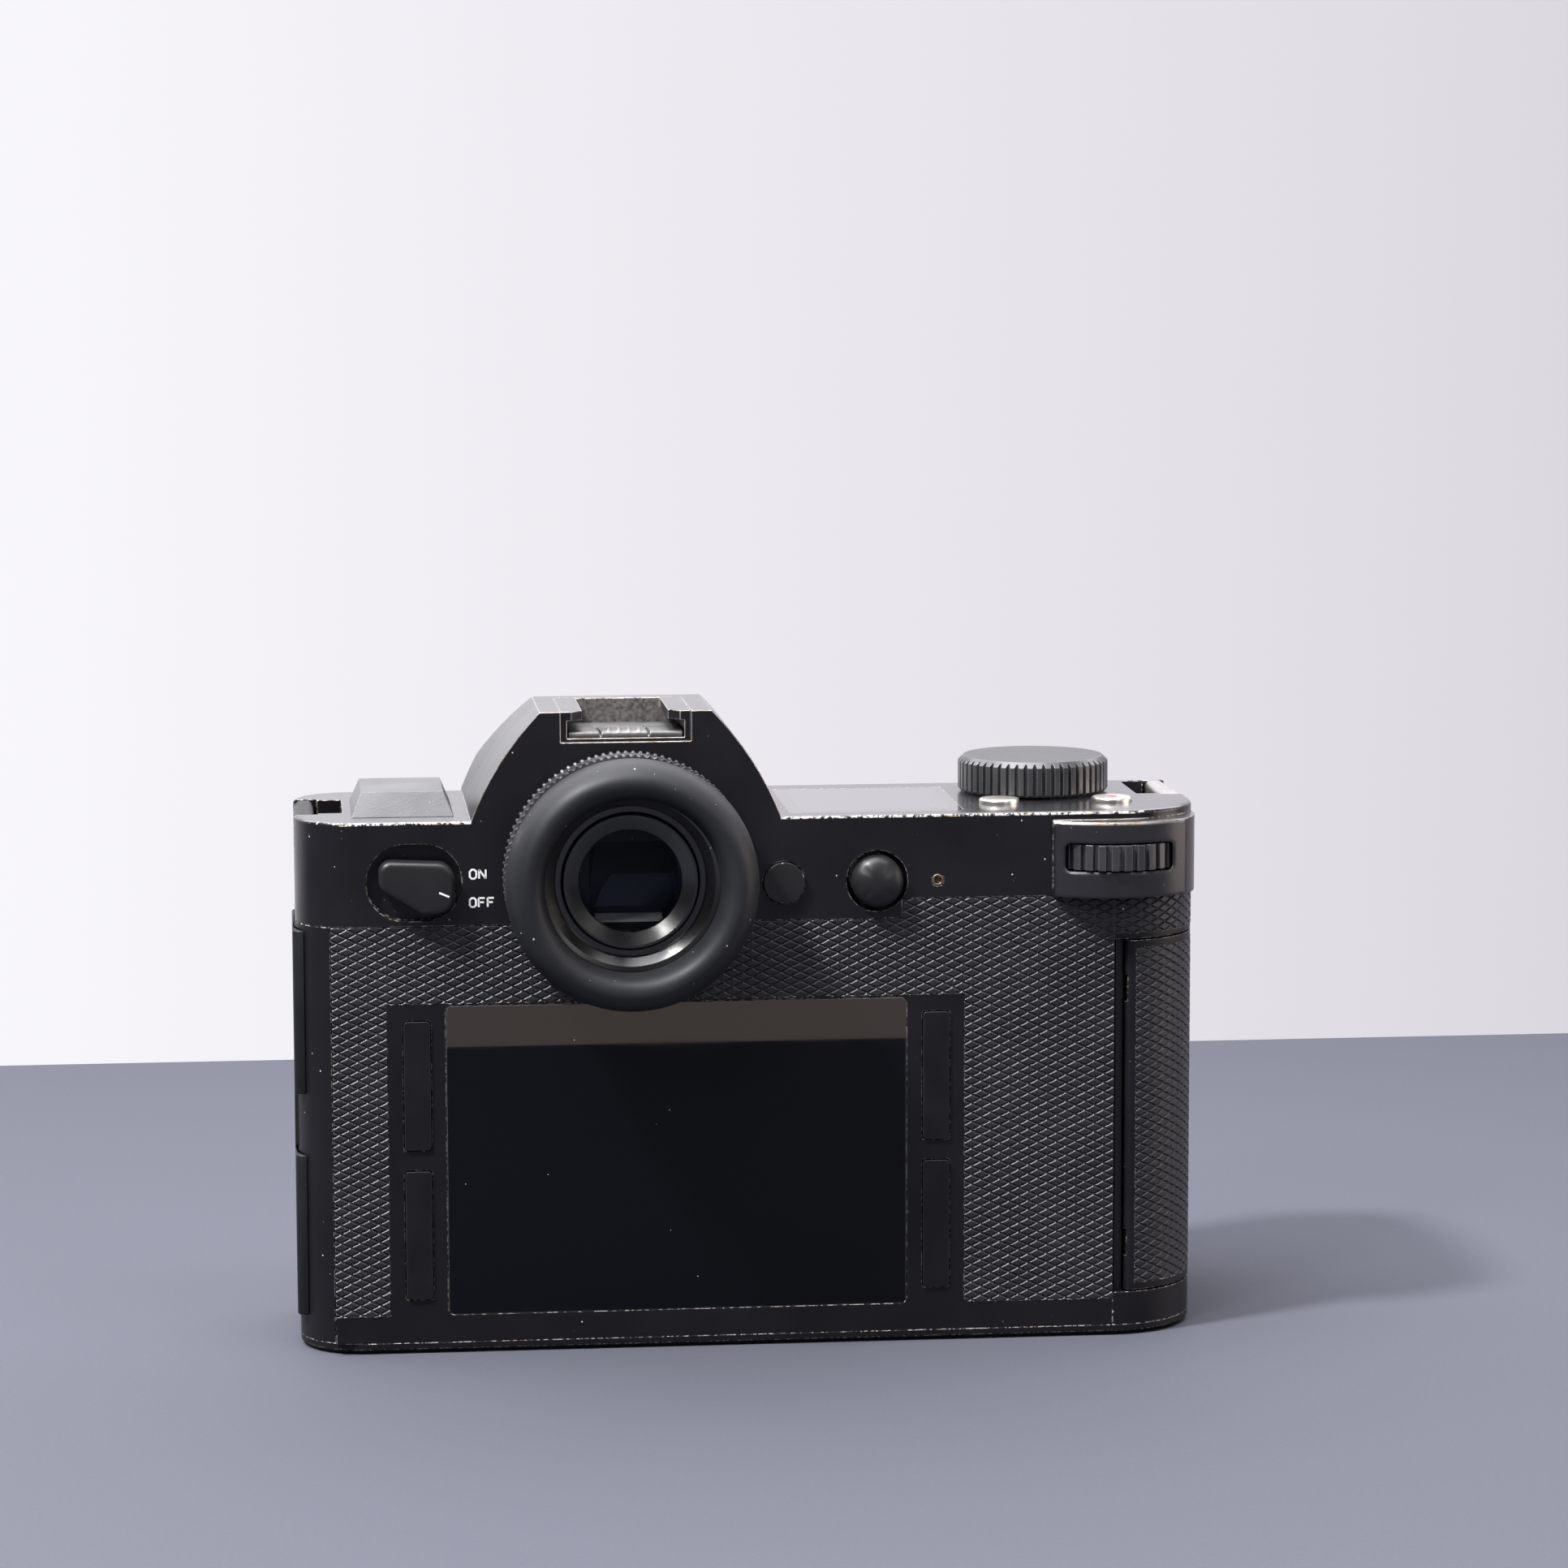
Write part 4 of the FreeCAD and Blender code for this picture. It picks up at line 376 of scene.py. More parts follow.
FINISH = {
    METALS["body"]: "front_shell back_plate bottom_plate card_door battery_hatch",
    METALS["top"]: "top_cover shoe_rails",
    METALS["plain"]: "finder_key shutter_frame shutter_blade_1 shutter_blade_2 shutter_blade_3",
    PLASTICS["dial"]: "top_dial thumb_wheel",
    METALS["silver"]: "deck_key_left deck_key_right shutter_button",
    METALS["mount"]: "mount_ring",
    METALS["strap"]: "strap_bars",
    METALS["bright"]: "hatch_pin card_hinge_slide thumb_wheel_axle tripod_socket joystick_yoke "
                      "joystick_stem lens_release",
    METALS["aluminium"]: "chassis",
    PLASTICS["textured"]: "antenna_cover",
    PLASTICS["key"]: "screen_key_left_low screen_key_left_high screen_key_right_low screen_key_right_high",
    PLASTICS["matt"]: "finder_housing light_baffle mount_contacts card_bay battery battery_bay "
                      "battery_latch port_panel joystick_base lcd_panel",
    PANE: "lcd_glass",
    DISPLAY: "top_display",
    SENSOR: "sensor",
    LENS: "eyepiece_lens",
    CIRCUIT: "main_board control_board",
}


def finish_nodes():
    for material, names in FINISH.items():
        for name in names.split():
            for place in NODES[name].material_slots:
                place.material = material


finish_nodes()


# Mesh helpers


def placed(name, data):
    """A new object of the scene."""
    obj = bpy.data.objects.new(name, data)
    scene.collection.objects.link(obj)
    return obj


def finished(work, name):
    """The mesh of a bmesh that is done with."""
    mesh = bpy.data.meshes.new(name)
    work.to_mesh(mesh)
    work.free()
    return mesh


def new_piece(mesh, material, body="root", sharp=35.0):
    """An object with its mesh's name, smooth but for its sharp edges, riding on a body."""
    obj = placed(mesh.name, mesh)
    mesh.materials.append(material)
    mesh.shade_smooth()
    mesh.set_sharp_from_angle(angle=math.radians(sharp))
    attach(obj, body)
    return obj


def mesh_of(name, points, faces):
    """A mesh from points in millimetres, its faces turned outwards."""
    work = bmesh.new()
    verts = [work.verts.new(Vector(point) * MM) for point in points]
    for face in faces:
        work.faces.new([verts[k] for k in face])
    bmesh.ops.recalc_face_normals(work, faces=work.faces)
    return finished(work, name)


# From a place a, b across an axis and a place t along it to x, y and z
TO_SPACE = {
    "x": lambda a, b, t: (t, a, b),
    "y": lambda a, b, t: (a, t, b),
    "z": lambda a, b, t: (a, b, t),
}


def turned_points(profile, centre, axis, count):
    """The points of a profile of (radius, place along the axis) at each of its steps round the axis."""
    points = []
    for step in range(count):
        turned = 2 * math.pi * step / count
        for radius, along in profile:
            spot = TO_SPACE[axis](radius * math.cos(turned), radius * math.sin(turned), along)
            points.append(Vector(centre) + Vector(spot))
    return points


def grid_faces(rows, size, ring=True, closed=True, first=0):
    """Faces between rows of size points. A ring's last row meets its first, a closed row's ends meet."""
    faces = []
    for row in range(rows if ring else rows - 1):
        here, there = first + row * size, first + (row + 1) % rows * size
        for k in range(size if closed else size - 1):
            n = (k + 1) % size
            faces.append((here + k, here + n, there + n, there + k))
    return faces


def lathe(name, profile, centre, axis, count=128):
    """A closed ring: the closed profile of (radius, place along the axis) turned round it."""
    return mesh_of(name, turned_points(profile, centre, axis, count), grid_faces(count, len(profile)))


def disc(name, profile, centre, axis, count=48):
    """A solid of revolution whose profile starts and ends on the axis."""
    ring = profile[1:-1]
    size = len(ring)
    ends = [Vector(centre) + Vector(TO_SPACE[axis](0, 0, along)) for _, along in (profile[0], profile[-1])]
    points = ends + turned_points(ring, centre, axis, count)
    faces = grid_faces(count, size, closed=False, first=2)
    for step in range(count):
        here, there = 2 + step * size, 2 + (step + 1) % count * size
        faces += [(0, here, there), (1, there + size - 1, here + size - 1)]
    return mesh_of(name, points, faces)


def arc_points(start, end, radius, left, count=7):
    """Points from start on an arc to end, which is left out."""
    start, end = Vector(start), Vector(end)
    half = (end - start) / 2
    rise = math.sqrt(max(0.0, radius * radius - half.length_squared))
    side = Vector((-half.y, half.x)).normalized() * (rise if left else -rise)
    centre = start + half + side
    first = start - centre
    swept = first.angle_signed(end - centre)
    return [centre + Matrix.Rotation(-swept * k / count, 2) @ first for k in range(count)]


def rounded_outline(points, arcs):
    """A closed outline, its edges bent by {edge: (radius, turns left)}."""
    shape = []
    for k, point in enumerate(points):
        if k in arcs:
            shape += arc_points(point, points[(k + 1) % len(points)], *arcs[k])
        else:
            shape.append(Vector(point))
    return shape


def rectangle(a0, a1, b0, b1, radius):
    """The outline of a rectangle with round corners."""
    r = radius
    points = [(a0 + r, b0), (a1 - r, b0), (a1, b0 + r), (a1, b1 - r), (a1 - r, b1), (a0 + r, b1),
              (a0, b1 - r), (a0, b0 + r)]
    return rounded_outline(points, {k: (r, True) for k in (1, 3, 5, 7)})


def slab(name, shape, axis, low, high, bevel=0.0, steps=3, both=False):
    """An extruded outline whose edge at the high end, or at both ends, is rounded."""
    work = bmesh.new()
    ends = [[work.verts.new(Vector(TO_SPACE[axis](a, b, t)) * MM) for a, b in shape] for t in (low, high)]
    count = len(shape)
    for k in range(count):
        n = (k + 1) % count
        work.faces.new((ends[0][k], ends[0][n], ends[1][n], ends[1][k]))
    caps = [work.faces.new(end) for end in ends]
    bmesh.ops.recalc_face_normals(work, faces=work.faces)
    if bevel:
        edges = [edge for cap in (caps if both else caps[1:]) for edge in cap.edges]
        bmesh.ops.bevel(work, geom=edges, offset=bevel * MM, segments=steps, profile=0.5, affect="EDGES")
    return finished(work, name)


def replace(mesh, material, node, body="root", sharp=35.0):
    """A new piece that takes the place of a node of the frame."""
    obj = new_piece(mesh, material, body, sharp)
    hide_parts(node)


def join_meshes(name, meshes):
    """Several meshes as one."""
    work = bmesh.new()
    for mesh in meshes:
        work.from_mesh(mesh)
        bpy.data.meshes.remove(mesh)
    return finished(work, name)


# Leather: diamonds pressed into the covering, laid along the body's outline

CORNER = (79.5, -5.0)
CORNER_RADIUS = 14.5
DIAMOND_WIDE = 3.10
DIAMOND_TALL = 1.48
DIAMOND_TOP = 0.66
PEAK = 0.10
VALLEY = -0.14
SKIRT = -0.45


class Path:
    """A line seen from above, made of straight runs and arcs, with its outward side."""

    def __init__(self, x, y):
        self.place = Vector((x, y))
        self.angle = 0.0
        self.parts = []
        self.end = 0.0

    def add(self, length, radius=None):
        """A straight run, or one on an arc that turns left, its radius given."""
        self.parts.append((self.end, self.place, self.angle, radius))
        self.end += length
        _, self.place, self.angle = self.along(self.end)
        return self

    def arc(self, radius, degrees):
        return self.add(radius * math.radians(degrees), radius)

    def along(self, u):
        """The outward normal, place and heading at a distance along the path."""
        part = self.parts[0]
        for item in self.parts:
            if u >= item[0]:
                part = item
        start, place, angle, radius = part
        run = u - start
        if radius is None:
            spot = place + run * Vector((math.cos(angle), math.sin(angle)))
        else:
            turned = angle + run / radius
            swept = Vector((math.sin(turned) - math.sin(angle), math.cos(angle) - math.cos(turned)))
            spot = place + radius * swept
            angle = turned
        return Vector((math.sin(angle), -math.cos(angle))), spot, angle

    def point(self, u, z, height):
        out, spot, _ = self.along(u)
        return Vector((spot.x + out.x * height, spot.y + out.y * height, z))


def clip(shape, line):
    """The part of a convex shape (u, z, height) on the left of a line (u0, z0, u1, z1)."""
    u0, z0, u1, z1 = line
    side = [(u1 - u0) * (p[1] - z0) - (z1 - z0) * (p[0] - u0) for p in shape]
    kept = []
    for k, point in enumerate(shape):
        n = (k + 1) % len(shape)
        if side[k] >= 0:
            kept.append(point)
        if (side[k] > 0) != (side[n] > 0) and abs(side[k] - side[n]) > 1e-9:
            share = side[k] / (side[k] - side[n])
            kept.append(tuple(a + share * (b - a) for a, b in zip(point, shape[n])))
    return kept if len(kept) > 2 else []


def box_lines(u0, u1, z0, z1):
    return [(u0, z0, u1, z0), (u1, z0, u1, z1), (u1, z1, u0, z1), (u0, z1, u0, z0)]


def tangent(centre, radius, spot):
    """The line that keeps what lies outside a circle, near the spot."""
    out = (Vector(spot) - Vector(centre)).normalized()
    touch = Vector(centre) + out * radius
    along = Vector((out.y, -out.x))
    return (touch.x, touch.y, touch.x + along.x, touch.y + along.y)


def diamond_faces(u, z, peak):
    """The top and the four slopes of a diamond, as (u, z, height) points."""
    corners = [(-DIAMOND_WIDE / 2, 0), (0, -DIAMOND_TALL / 2), (DIAMOND_WIDE / 2, 0), (0, DIAMOND_TALL / 2)]
    low = [(u + a, z + b, VALLEY) for a, b in corners]
    top = [(u + a * DIAMOND_TOP, z + b * DIAMOND_TOP, peak) for a, b in corners]
    return [top] + [[low[k], low[(k + 1) % 4], top[(k + 1) % 4], top[k]] for k in range(4)]


def cells(low, high, half):
    """The numbers of the half diamonds that cover low to high."""
    return range(math.floor(low / half) - 1, math.ceil(high / half) + 2)


def diamonds(name, path, regions, body, node, hole=None):
    """A sheet of raised diamonds over rectangles of the path, u0 to u1 and z0 to z1, but for a hole."""
    draw = random.Random(node)
    work = bmesh.new()
    half_u, half_z = DIAMOND_WIDE / 2, DIAMOND_TALL / 2
    for u0, u1, z0, z1 in regions:
        for column in cells(u0, u1, half_u):
            for row in cells(z0, z1, half_z):
                if (column + row) % 2:
                    continue
                u, z = column * half_u, row * half_z
                peak = PEAK - 0.05 * draw.random()
                cuts = box_lines(u0, u1, z0, z1)
                if hole:
                    centre, radius = hole
                    away = (Vector((u, z)) - Vector(centre)).length
                    if away < radius - DIAMOND_WIDE:
                        continue
                    if away < radius + DIAMOND_WIDE:
                        cuts.append(tangent(centre, radius, (u, z)))
                for face in diamond_faces(u, z, peak):
                    for line in cuts:
                        face = clip(face, line)
                    if face:
                        work.faces.new([work.verts.new(point) for point in face])
    bmesh.ops.remove_doubles(work, verts=work.verts, dist=0.004)
    rim = [edge for edge in work.edges if edge.is_boundary]
    grown = bmesh.ops.extrude_edge_only(work, edges=rim)
    for item in grown["geom"]:
        if isinstance(item, bmesh.types.BMVert):
            item.co.z = SKIRT
    for vert in work.verts:
        vert.co = path.point(*vert.co) * MM
    bmesh.ops.recalc_face_normals(work, faces=work.faces)
    replace(finished(work, name), LEATHER, node, body, 20.0)


# The seams of the covering: heights, then places across the back and along the sides
RAIL = 6.3
DOOR_LOW = 8.7
SCREEN_TOP = 57.3
DOOR_HIGH = 64.2
DOOR_SEAM = 66.6
LOW_SEAM = 69.7
HIGH_SEAM = 72.9
PLATE_LEFT = -47.4
SCREEN_LEFT = -38.7
STEP = 44.6
SCREEN_RIGHT = 54.7
PLATE_RIGHT = 79.2
DOOR_REAR = 82.9
DOOR_FRONT = 2.4
DOOR_GAP_FRONT = 4.2
FRONT_END = -44.0
EYE_HOLE = 17.4
LENS_HOLE = 34.8

# The grip seen from above
GRIP_NOSE = 38.0
NOSE_RIGHT = 83.0
NOSE_LEFT = 71.0
GRIP_FOOT = 58.0
GRIP_GAP = 0.5
LEFT_ROUND = 9.0
RIGHT_ROUND = 11.0


def rear_leather():
    path = Path(0.0, BACK).add(CORNER[0])
    regions = [
        (PLATE_LEFT, SCREEN_LEFT, RAIL, LOW_SEAM), (SCREEN_LEFT, STEP, SCREEN_TOP, LOW_SEAM),
        (STEP, SCREEN_RIGHT, SCREEN_TOP, HIGH_SEAM), (SCREEN_RIGHT, PLATE_RIGHT, RAIL, HIGH_SEAM),
    ]
    diamonds("leather_rear_skin", path, regions, "root", "leather_rear", (EYE, EYE_HOLE))


def front_leather():
    """One path from the rear seam round the corner, up the side, round the grip and over the front."""
    path = Path(0.0, BACK).add(CORNER[0]).arc(CORNER_RADIUS, 90)
    side_start = path.end
    side_end = side_start + FRONT - CORNER[1]
    path.add(GRIP_NOSE - RIGHT_ROUND - CORNER[1]).arc(RIGHT_ROUND, 90)
    path.add(NOSE_RIGHT - NOSE_LEFT).arc(LEFT_ROUND, 45)
    foot = Vector((GRIP_FOOT, FRONT))
    _, spot, _ = path.along(path.end)
    path.add((foot - spot).length)
    grip_end = path.end
    path.angle = math.pi
    path.place = foot
    path.add(GRIP_FOOT - FRONT_END)
    regions = [
        (PLATE_RIGHT, side_end, DOOR_SEAM, HIGH_SEAM),
        (side_start + DOOR_GAP_FRONT - CORNER[1], side_end, RAIL, DOOR_SEAM),
        (side_end, grip_end, RAIL, HIGH_SEAM),
        (grip_end + GRIP_GAP, path.end, RAIL, LOW_SEAM),
    ]
    lens = (grip_end + GRIP_FOOT - MOUNT[0], MOUNT[1])
    diamonds("leather_front_skin", path, regions, "root", "leather_front", (lens, LENS_HOLE))


def door_leather():
    path = Path(0.0, BACK).add(CORNER[0]).arc(CORNER_RADIUS, 90)
    side_start = path.end
    start = CORNER[0] + CORNER_RADIUS * math.asin((DOOR_REAR - CORNER[0]) / CORNER_RADIUS)
    end = side_start + DOOR_FRONT - CORNER[1]
    path.add(end - side_start)
    diamonds("leather_door_skin", path, [(start, end, DOOR_LOW, DOOR_HIGH)], "card_door", "leather_door")


rear_leather()
front_leather()
door_leather()


# Dioptre ring: two knurled rims with a polished channel between them

RING_TEETH = 104
TOOTH_DEEP = 0.38
RING_INNER = 17.05
RING_OUTER = 20.0
RING_FRONT = -19.8
RING_REAR = -25.0
EYE_CENTRE = (EYE[0], 0.0, EYE[1])


def dioptre_ring():
    """Its rows are (radius, y, whether the teeth cut into it)."""
    rows = [(RING_INNER, RING_REAR, False), (19.35, RING_REAR, False)]
    rim = [(0.0, -24.9, True), (0.0, -24.1, True), (0.30, -23.9, False), (0.12, -22.6, False),
           (0.30, -21.2, False), (0.0, -21.0, True), (0.0, -20.1, True)]
    rows += [(RING_OUTER - drop, y, cut) for drop, y, cut in rim]
    rows += [(19.4, RING_FRONT, False), (RING_INNER, RING_FRONT, False)]
    count = 4 * RING_TEETH
    points = []
    for step in range(count):
        turned = 2 * math.pi * step / count
        tooth = TOOTH_DEEP if step % 4 > 1 else 0.0
        for radius, y, cut in rows:
            reach = radius - tooth if cut else radius
            points.append((EYE[0] + reach * math.cos(turned), y, EYE[1] + reach * math.sin(turned)))
    mesh = mesh_of("dioptre_knurl", points, grid_faces(count, len(rows)))
    replace(mesh, PLASTICS["dial"], "dioptre_ring", "dioptre_ring", 25.0)


dioptre_ring()


# Eyecup: soft rubber with a rolled mouth


def bezier(start, pull, end, count):
    """Points on a quadratic curve, without its end."""
    made = []
    for k in range(count):
        t = k / count
        made.append(tuple((1 - t) ** 2 * a + 2 * t * (1 - t) * b + t * t * c
                          for a, b, c in zip(start, pull, end)))
    return made


def eyecup():
    """Its back runs out to the rolled mouth, over it and down the funnel inside."""
    profile = [(14.65, -26.12), (17.2, -26.12), (17.9, -26.6), (18.9, -27.9)]
    curves = [((20.0, -29.2), (20.12, -31.6), 6), ((20.15, -34.2), (19.3, -35.9), 8),
              ((18.2, -38.05), (16.7, -38.08), 10), ((15.0, -38.05), (14.3, -36.2), 10),
              ((13.8, -34.8), (13.9, -33.2), 6)]
    start = profile[-1]
    for pull, end, count in curves:
        profile += bezier(start, pull, end, count)
        start = end
    profile += [(14.0, -32.2), (14.2, -30.4), (14.4, -30.1), (14.65, -29.5)]
    mesh = lathe("eyecup_rubber", profile, EYE_CENTRE, "y", 144)
    replace(mesh, PLASTICS["rubber"], "eyecup", sharp=50.0)


def eyepiece_barrel():
    profile = [(15.1, -16.5), (15.1, -19.5), (17.0, -19.5), (17.0, -26.0), (14.6, -26.0), (14.6, -29.5)]
    profile += [(14.2, -29.5), (13.5, -29.3), (12.2, -28.2), (12.0, -27.6), (11.1, -27.6), (10.9, -28.0)]
    profile += [(10.7, -28.4), (10.3, -28.4), (8.6, -27.4), (8.25, -27.2), (8.2, -25.7), (9.3, -25.7)]
    profile += [(9.3, -25.3), (10.2, -25.3), (10.2, -16.5)]
    mesh = lathe("barrel_shell", profile, EYE_CENTRE, "y", 144)
    replace(mesh, PLASTICS["gloss"], "eyepiece_barrel", sharp=12.0)


eyecup()
eyepiece_barrel()


# Finder: the mask and the small display seen through the eyepiece

MASK_STEPS = 72
MASK_RADIUS = 10.05
MASK_REAR = -20.9
MASK_FRONT = -19.3
MASK_HOLE = [(-6.2, 71.8), (-5.2, 70.2), (5.8, 70.2), (7.6, 72.0), (7.9, 81.3), (6.6, 83.2), (-4.6, 83.2),
             (-6.2, 81.6)]
SCREEN_Y = -15.2


def ray_to(shape, centre, turned):
    """Where a ray from the centre leaves a convex outline."""
    far = Vector(centre) + 2 * MASK_RADIUS * Vector((math.cos(turned), math.sin(turned)))
    for k, corner in enumerate(shape):
        hit = geometry.intersect_line_line_2d(centre, far, corner, shape[(k + 1) % len(shape)])
        if hit:
            return hit
    raise ValueError("the ray ends inside the outline")


def finder_mask():
    """A black disc in the eyepiece with a window of eight sides."""
    angles = [2 * math.pi * k / MASK_STEPS for k in range(MASK_STEPS)]
    rim = [(EYE[0] + MASK_RADIUS * math.cos(turned), EYE[1] + MASK_RADIUS * math.sin(turned))
           for turned in angles]
    hole = [ray_to(MASK_HOLE, EYE, turned) for turned in angles]
    points = []
    for loop, y in ((rim, MASK_REAR), (hole, MASK_REAR), (hole, MASK_FRONT), (rim, MASK_FRONT)):
        points += [(a, y, b) for a, b in loop]
    mesh = mesh_of("finder_mask", points, grid_faces(4, MASK_STEPS))
    new_piece(mesh, PLASTICS["matt"])


def finder_display():
    """The sill under the window, painted pale as painted light, and the display with a painted reflection in
    its lower part.
    """
    step = [(-20.85, 70.2), (-20.85, 70.5), (-17.0, 71.1), (-17.0, 70.2)]
    # Painted light: the sill is pale so that it shows as the lit bar under the window
    sill = slab("finder_sill", step, "x", -5.1, 5.7)
    new_piece(sill, PLASTICS["sill"])
    plate = slab("finder_screen", rectangle(-8.0, 8.0, 71.8, 83.0, 1.2), "y", -14.6, SCREEN_Y, 0.15, 2)
    new_piece(plate, PANE)
    # Painted reflection: a bluish patch over the lower part of the finder display
    shape = rounded_outline([(-4.9, 71.9), (7.9, 71.9), (7.9, 77.2), (-2.2, 77.2)], {3: (12.0, True)})
    glare = slab("finder_glare", shape, "y", SCREEN_Y, SCREEN_Y - 0.15, 0.05, 1)
    new_piece(glare, GLARE)


finder_mask()
finder_display()


# Accessory shoe spring: a rolled plate with a stamped tab


def height_grid(name, xs, ys, height, floor_z):
    """A closed plate whose top follows height(x, y), down to a flat floor."""
    points = [(x, y, height(x, y)) for y in ys for x in xs]
    points += [(x, y, floor_z) for y in ys for x in xs]
    wide, deep = len(xs), len(ys)
    under = wide * deep
    faces = grid_faces(deep, wide, ring=False, closed=False)
    faces += grid_faces(deep, wide, ring=False, closed=False, first=under)
    rim = [*range(wide), *range(2 * wide - 1, under, wide)]
    rim += [*range(under - 2, under - wide - 1, -1), *range(under - 2 * wide, 0, -wide)]
    for k, a in enumerate(rim):
        b = rim[(k + 1) % len(rim)]
        faces.append((a, under + a, under + b, b))
    return mesh_of(name, points, faces)


def steps_between(low, high, step):
    """Even places from low to high, about a step apart."""
    count = max(2, round((high - low) / step))
    return [low + (high - low) * k / count for k in range(count + 1)]


def swell(value, middle, half):
    """A soft bump: 1 in the middle, 0 from half away."""
    away = abs(value - middle) / half
    return 0.5 + 0.5 * math.cos(math.pi * away) if away < 1 else 0.0


SPRING = {"left": -9.1, "right": 9.1, "rear": -18.7, "front": -2.2, "low": 99.7, "thick": 1.05}
TAB = {"left": -4.0, "right": 3.7, "rear": -18.7, "front": -11.2}
NOSE = {"deep": 0.8, "drop": 0.75}
FALL = {"start": -14.7, "drop": 0.45}
RIBS = {"first": -2.65, "pitch": 1.62, "count": 4, "half": 0.58, "high": 0.50, "y": -16.9, "half_y": 1.9}
SLOT_DEEP = 0.6
LEAST_THICK = 0.12
FINE_END = -18.0
TAB_END = -10.6


def spring_height(x, y):
    """The top of the plate: a round rear edge, a slight fall to the front and slots round the ribbed tab."""
    top = SPRING["low"] + SPRING["thick"]
    nose = (y - SPRING["rear"]) / NOSE["deep"]
    if nose < 1.0:
        top -= NOSE["drop"] * (1.0 - math.sqrt(max(0.0, 1.0 - (1.0 - nose) ** 2)))
    if y > FALL["start"]:
        top -= FALL["drop"] * (y - FALL["start"]) / (SPRING["front"] - FALL["start"])
    lean = 0.55 * (y - TAB["rear"]) / (TAB["front"] - TAB["rear"])
    left, right = TAB["left"] - lean, TAB["right"] - 0.2 * lean
    slot = 0.0
    if y < TAB["front"]:
        slot = max(swell(x, left, 0.24), swell(x, right, 0.24))
    if left < x < right:
        arch = TAB["front"] - 0.06 * (x + 0.15) ** 2
        slot = max(slot, swell(y, arch, 0.30))
        for number in range(RIBS["count"]):
            middle = RIBS["first"] + RIBS["pitch"] * number
            top += RIBS["high"] * swell(x, middle, RIBS["half"]) * swell(y, RIBS["y"], RIBS["half_y"])
    return max(SPRING["low"] + LEAST_THICK, top - SLOT_DEEP * slot)


def shoe_spring():
    xs = steps_between(SPRING["left"], SPRING["right"], 0.14)
    ys = steps_between(SPRING["rear"], FINE_END, 0.08)[:-1]
    ys += steps_between(FINE_END, TAB_END, 0.16)[:-1]
    ys += steps_between(TAB_END, SPRING["front"], 0.9)
    mesh = height_grid("shoe_spring_plate", xs, ys, spring_height, SPRING["low"])
    replace(mesh, METALS["spring"], "shoe_spring", sharp=40.0)


shoe_spring()


# Power lever: a rounded paddle on its shaft

LEVER_FACE = -22.2


def power_lever():
    outline = [(-4.27, 3.93), (3.20, 3.62), (5.97, 0.69), (5.94, -1.80), (3.16, -4.66), (1.25, -4.74),
               (0.07, -4.39), (-5.46, -0.92), (-6.25, 0.62), (-6.25, 2.03)]
    arcs = {1: (2.9, False), 3: (2.9, False), 5: (1.9, False), 7: (1.9, False), 9: (1.9, False)}
    shape = [point + Vector(LEVER) for point in rounded_outline(outline, arcs)]
    paddle = slab("lever_paddle", shape, "y", -18.3, LEVER_FACE, 0.85, 5)
    profile = [(0, -18.4), (2.0, -18.4), (2.0, -16.3), (3.9, -16.3), (3.9, -15.5), (0, -15.5)]
    shaft = disc("lever_shaft", profile, (LEVER[0], 0, LEVER[1]), "y", 40)
    mesh = join_meshes("lever_body", [paddle, shaft])
    replace(mesh, METALS["plain"], "power_lever", "power_lever", 40.0)


power_lever()


# Joystick cap: a dome with four soft creases

CAP_RADIUS = 4.2
DOME_START = -20.1
DOME_HIGH = 2.38
DOME_STEPS = 13
CREASE = 0.18


def joystick_cap():
    rings = [(CAP_RADIUS - 0.5, -18.5), (CAP_RADIUS, -19.1), (CAP_RADIUS, -19.62)]
    for step in range(1, DOME_STEPS):
        turned = math.pi / 2 * step / DOME_STEPS
        rings.append((CAP_RADIUS * math.cos(turned), DOME_START - DOME_HIGH * math.sin(turned)))
    x, z = STICK
    count = 96
    points = []
    for radius, y in rings:
        fade = swell(radius, 2.6, 1.6) * radius / CAP_RADIUS
        for k in range(count):
            turned = 2 * math.pi * k / count
            crease = CREASE * swell(k % (count / 4), count / 8, 5.0) * fade
            points.append((x + radius * math.cos(turned), y + crease, z + radius * math.sin(turned)))
    points.append((x, DOME_START - DOME_HIGH, z))
    faces = grid_faces(len(rings), count, ring=False)
    faces.append(tuple(range(count)))
    last = (len(rings) - 1) * count
    for k in range(count):
        faces.append((last + k, last + (k + 1) % count, len(points) - 1))
    dome = mesh_of("stick_dome", points, faces)
    neck = disc("stick_neck", [(0, -18.6), (1.8, -18.6), (1.8, -17.4), (0, -17.4)], (x, 0, z), "y", 32)
    mesh = join_meshes("stick_cap", [dome, neck])
    replace(mesh, PLASTICS["cap"], "joystick_cap", "joystick_cap", 60.0)


joystick_cap()


# Port covers: rubber flaps that follow the rounded left side

LEFT_FACE = -53.0
LEFT_CORNER = 10.5
LEFT_CORNER_START = -9.0
FLAP_FACE = -53.5
FLAP_INSIDE = -51.85
FLAP_GAP = 0.06
FLAP_SPANS = {"upper": (42.0, 68.7), "lower": (5.6, 32.0)}


def corner_x(y):
    """The place just off the left side of the body at depth y, past where its rear corner starts."""
    deep = max(0.0, LEFT_CORNER_START - y)
    return LEFT_FACE - FLAP_GAP + LEFT_CORNER - math.sqrt(LEFT_CORNER ** 2 - deep * deep)


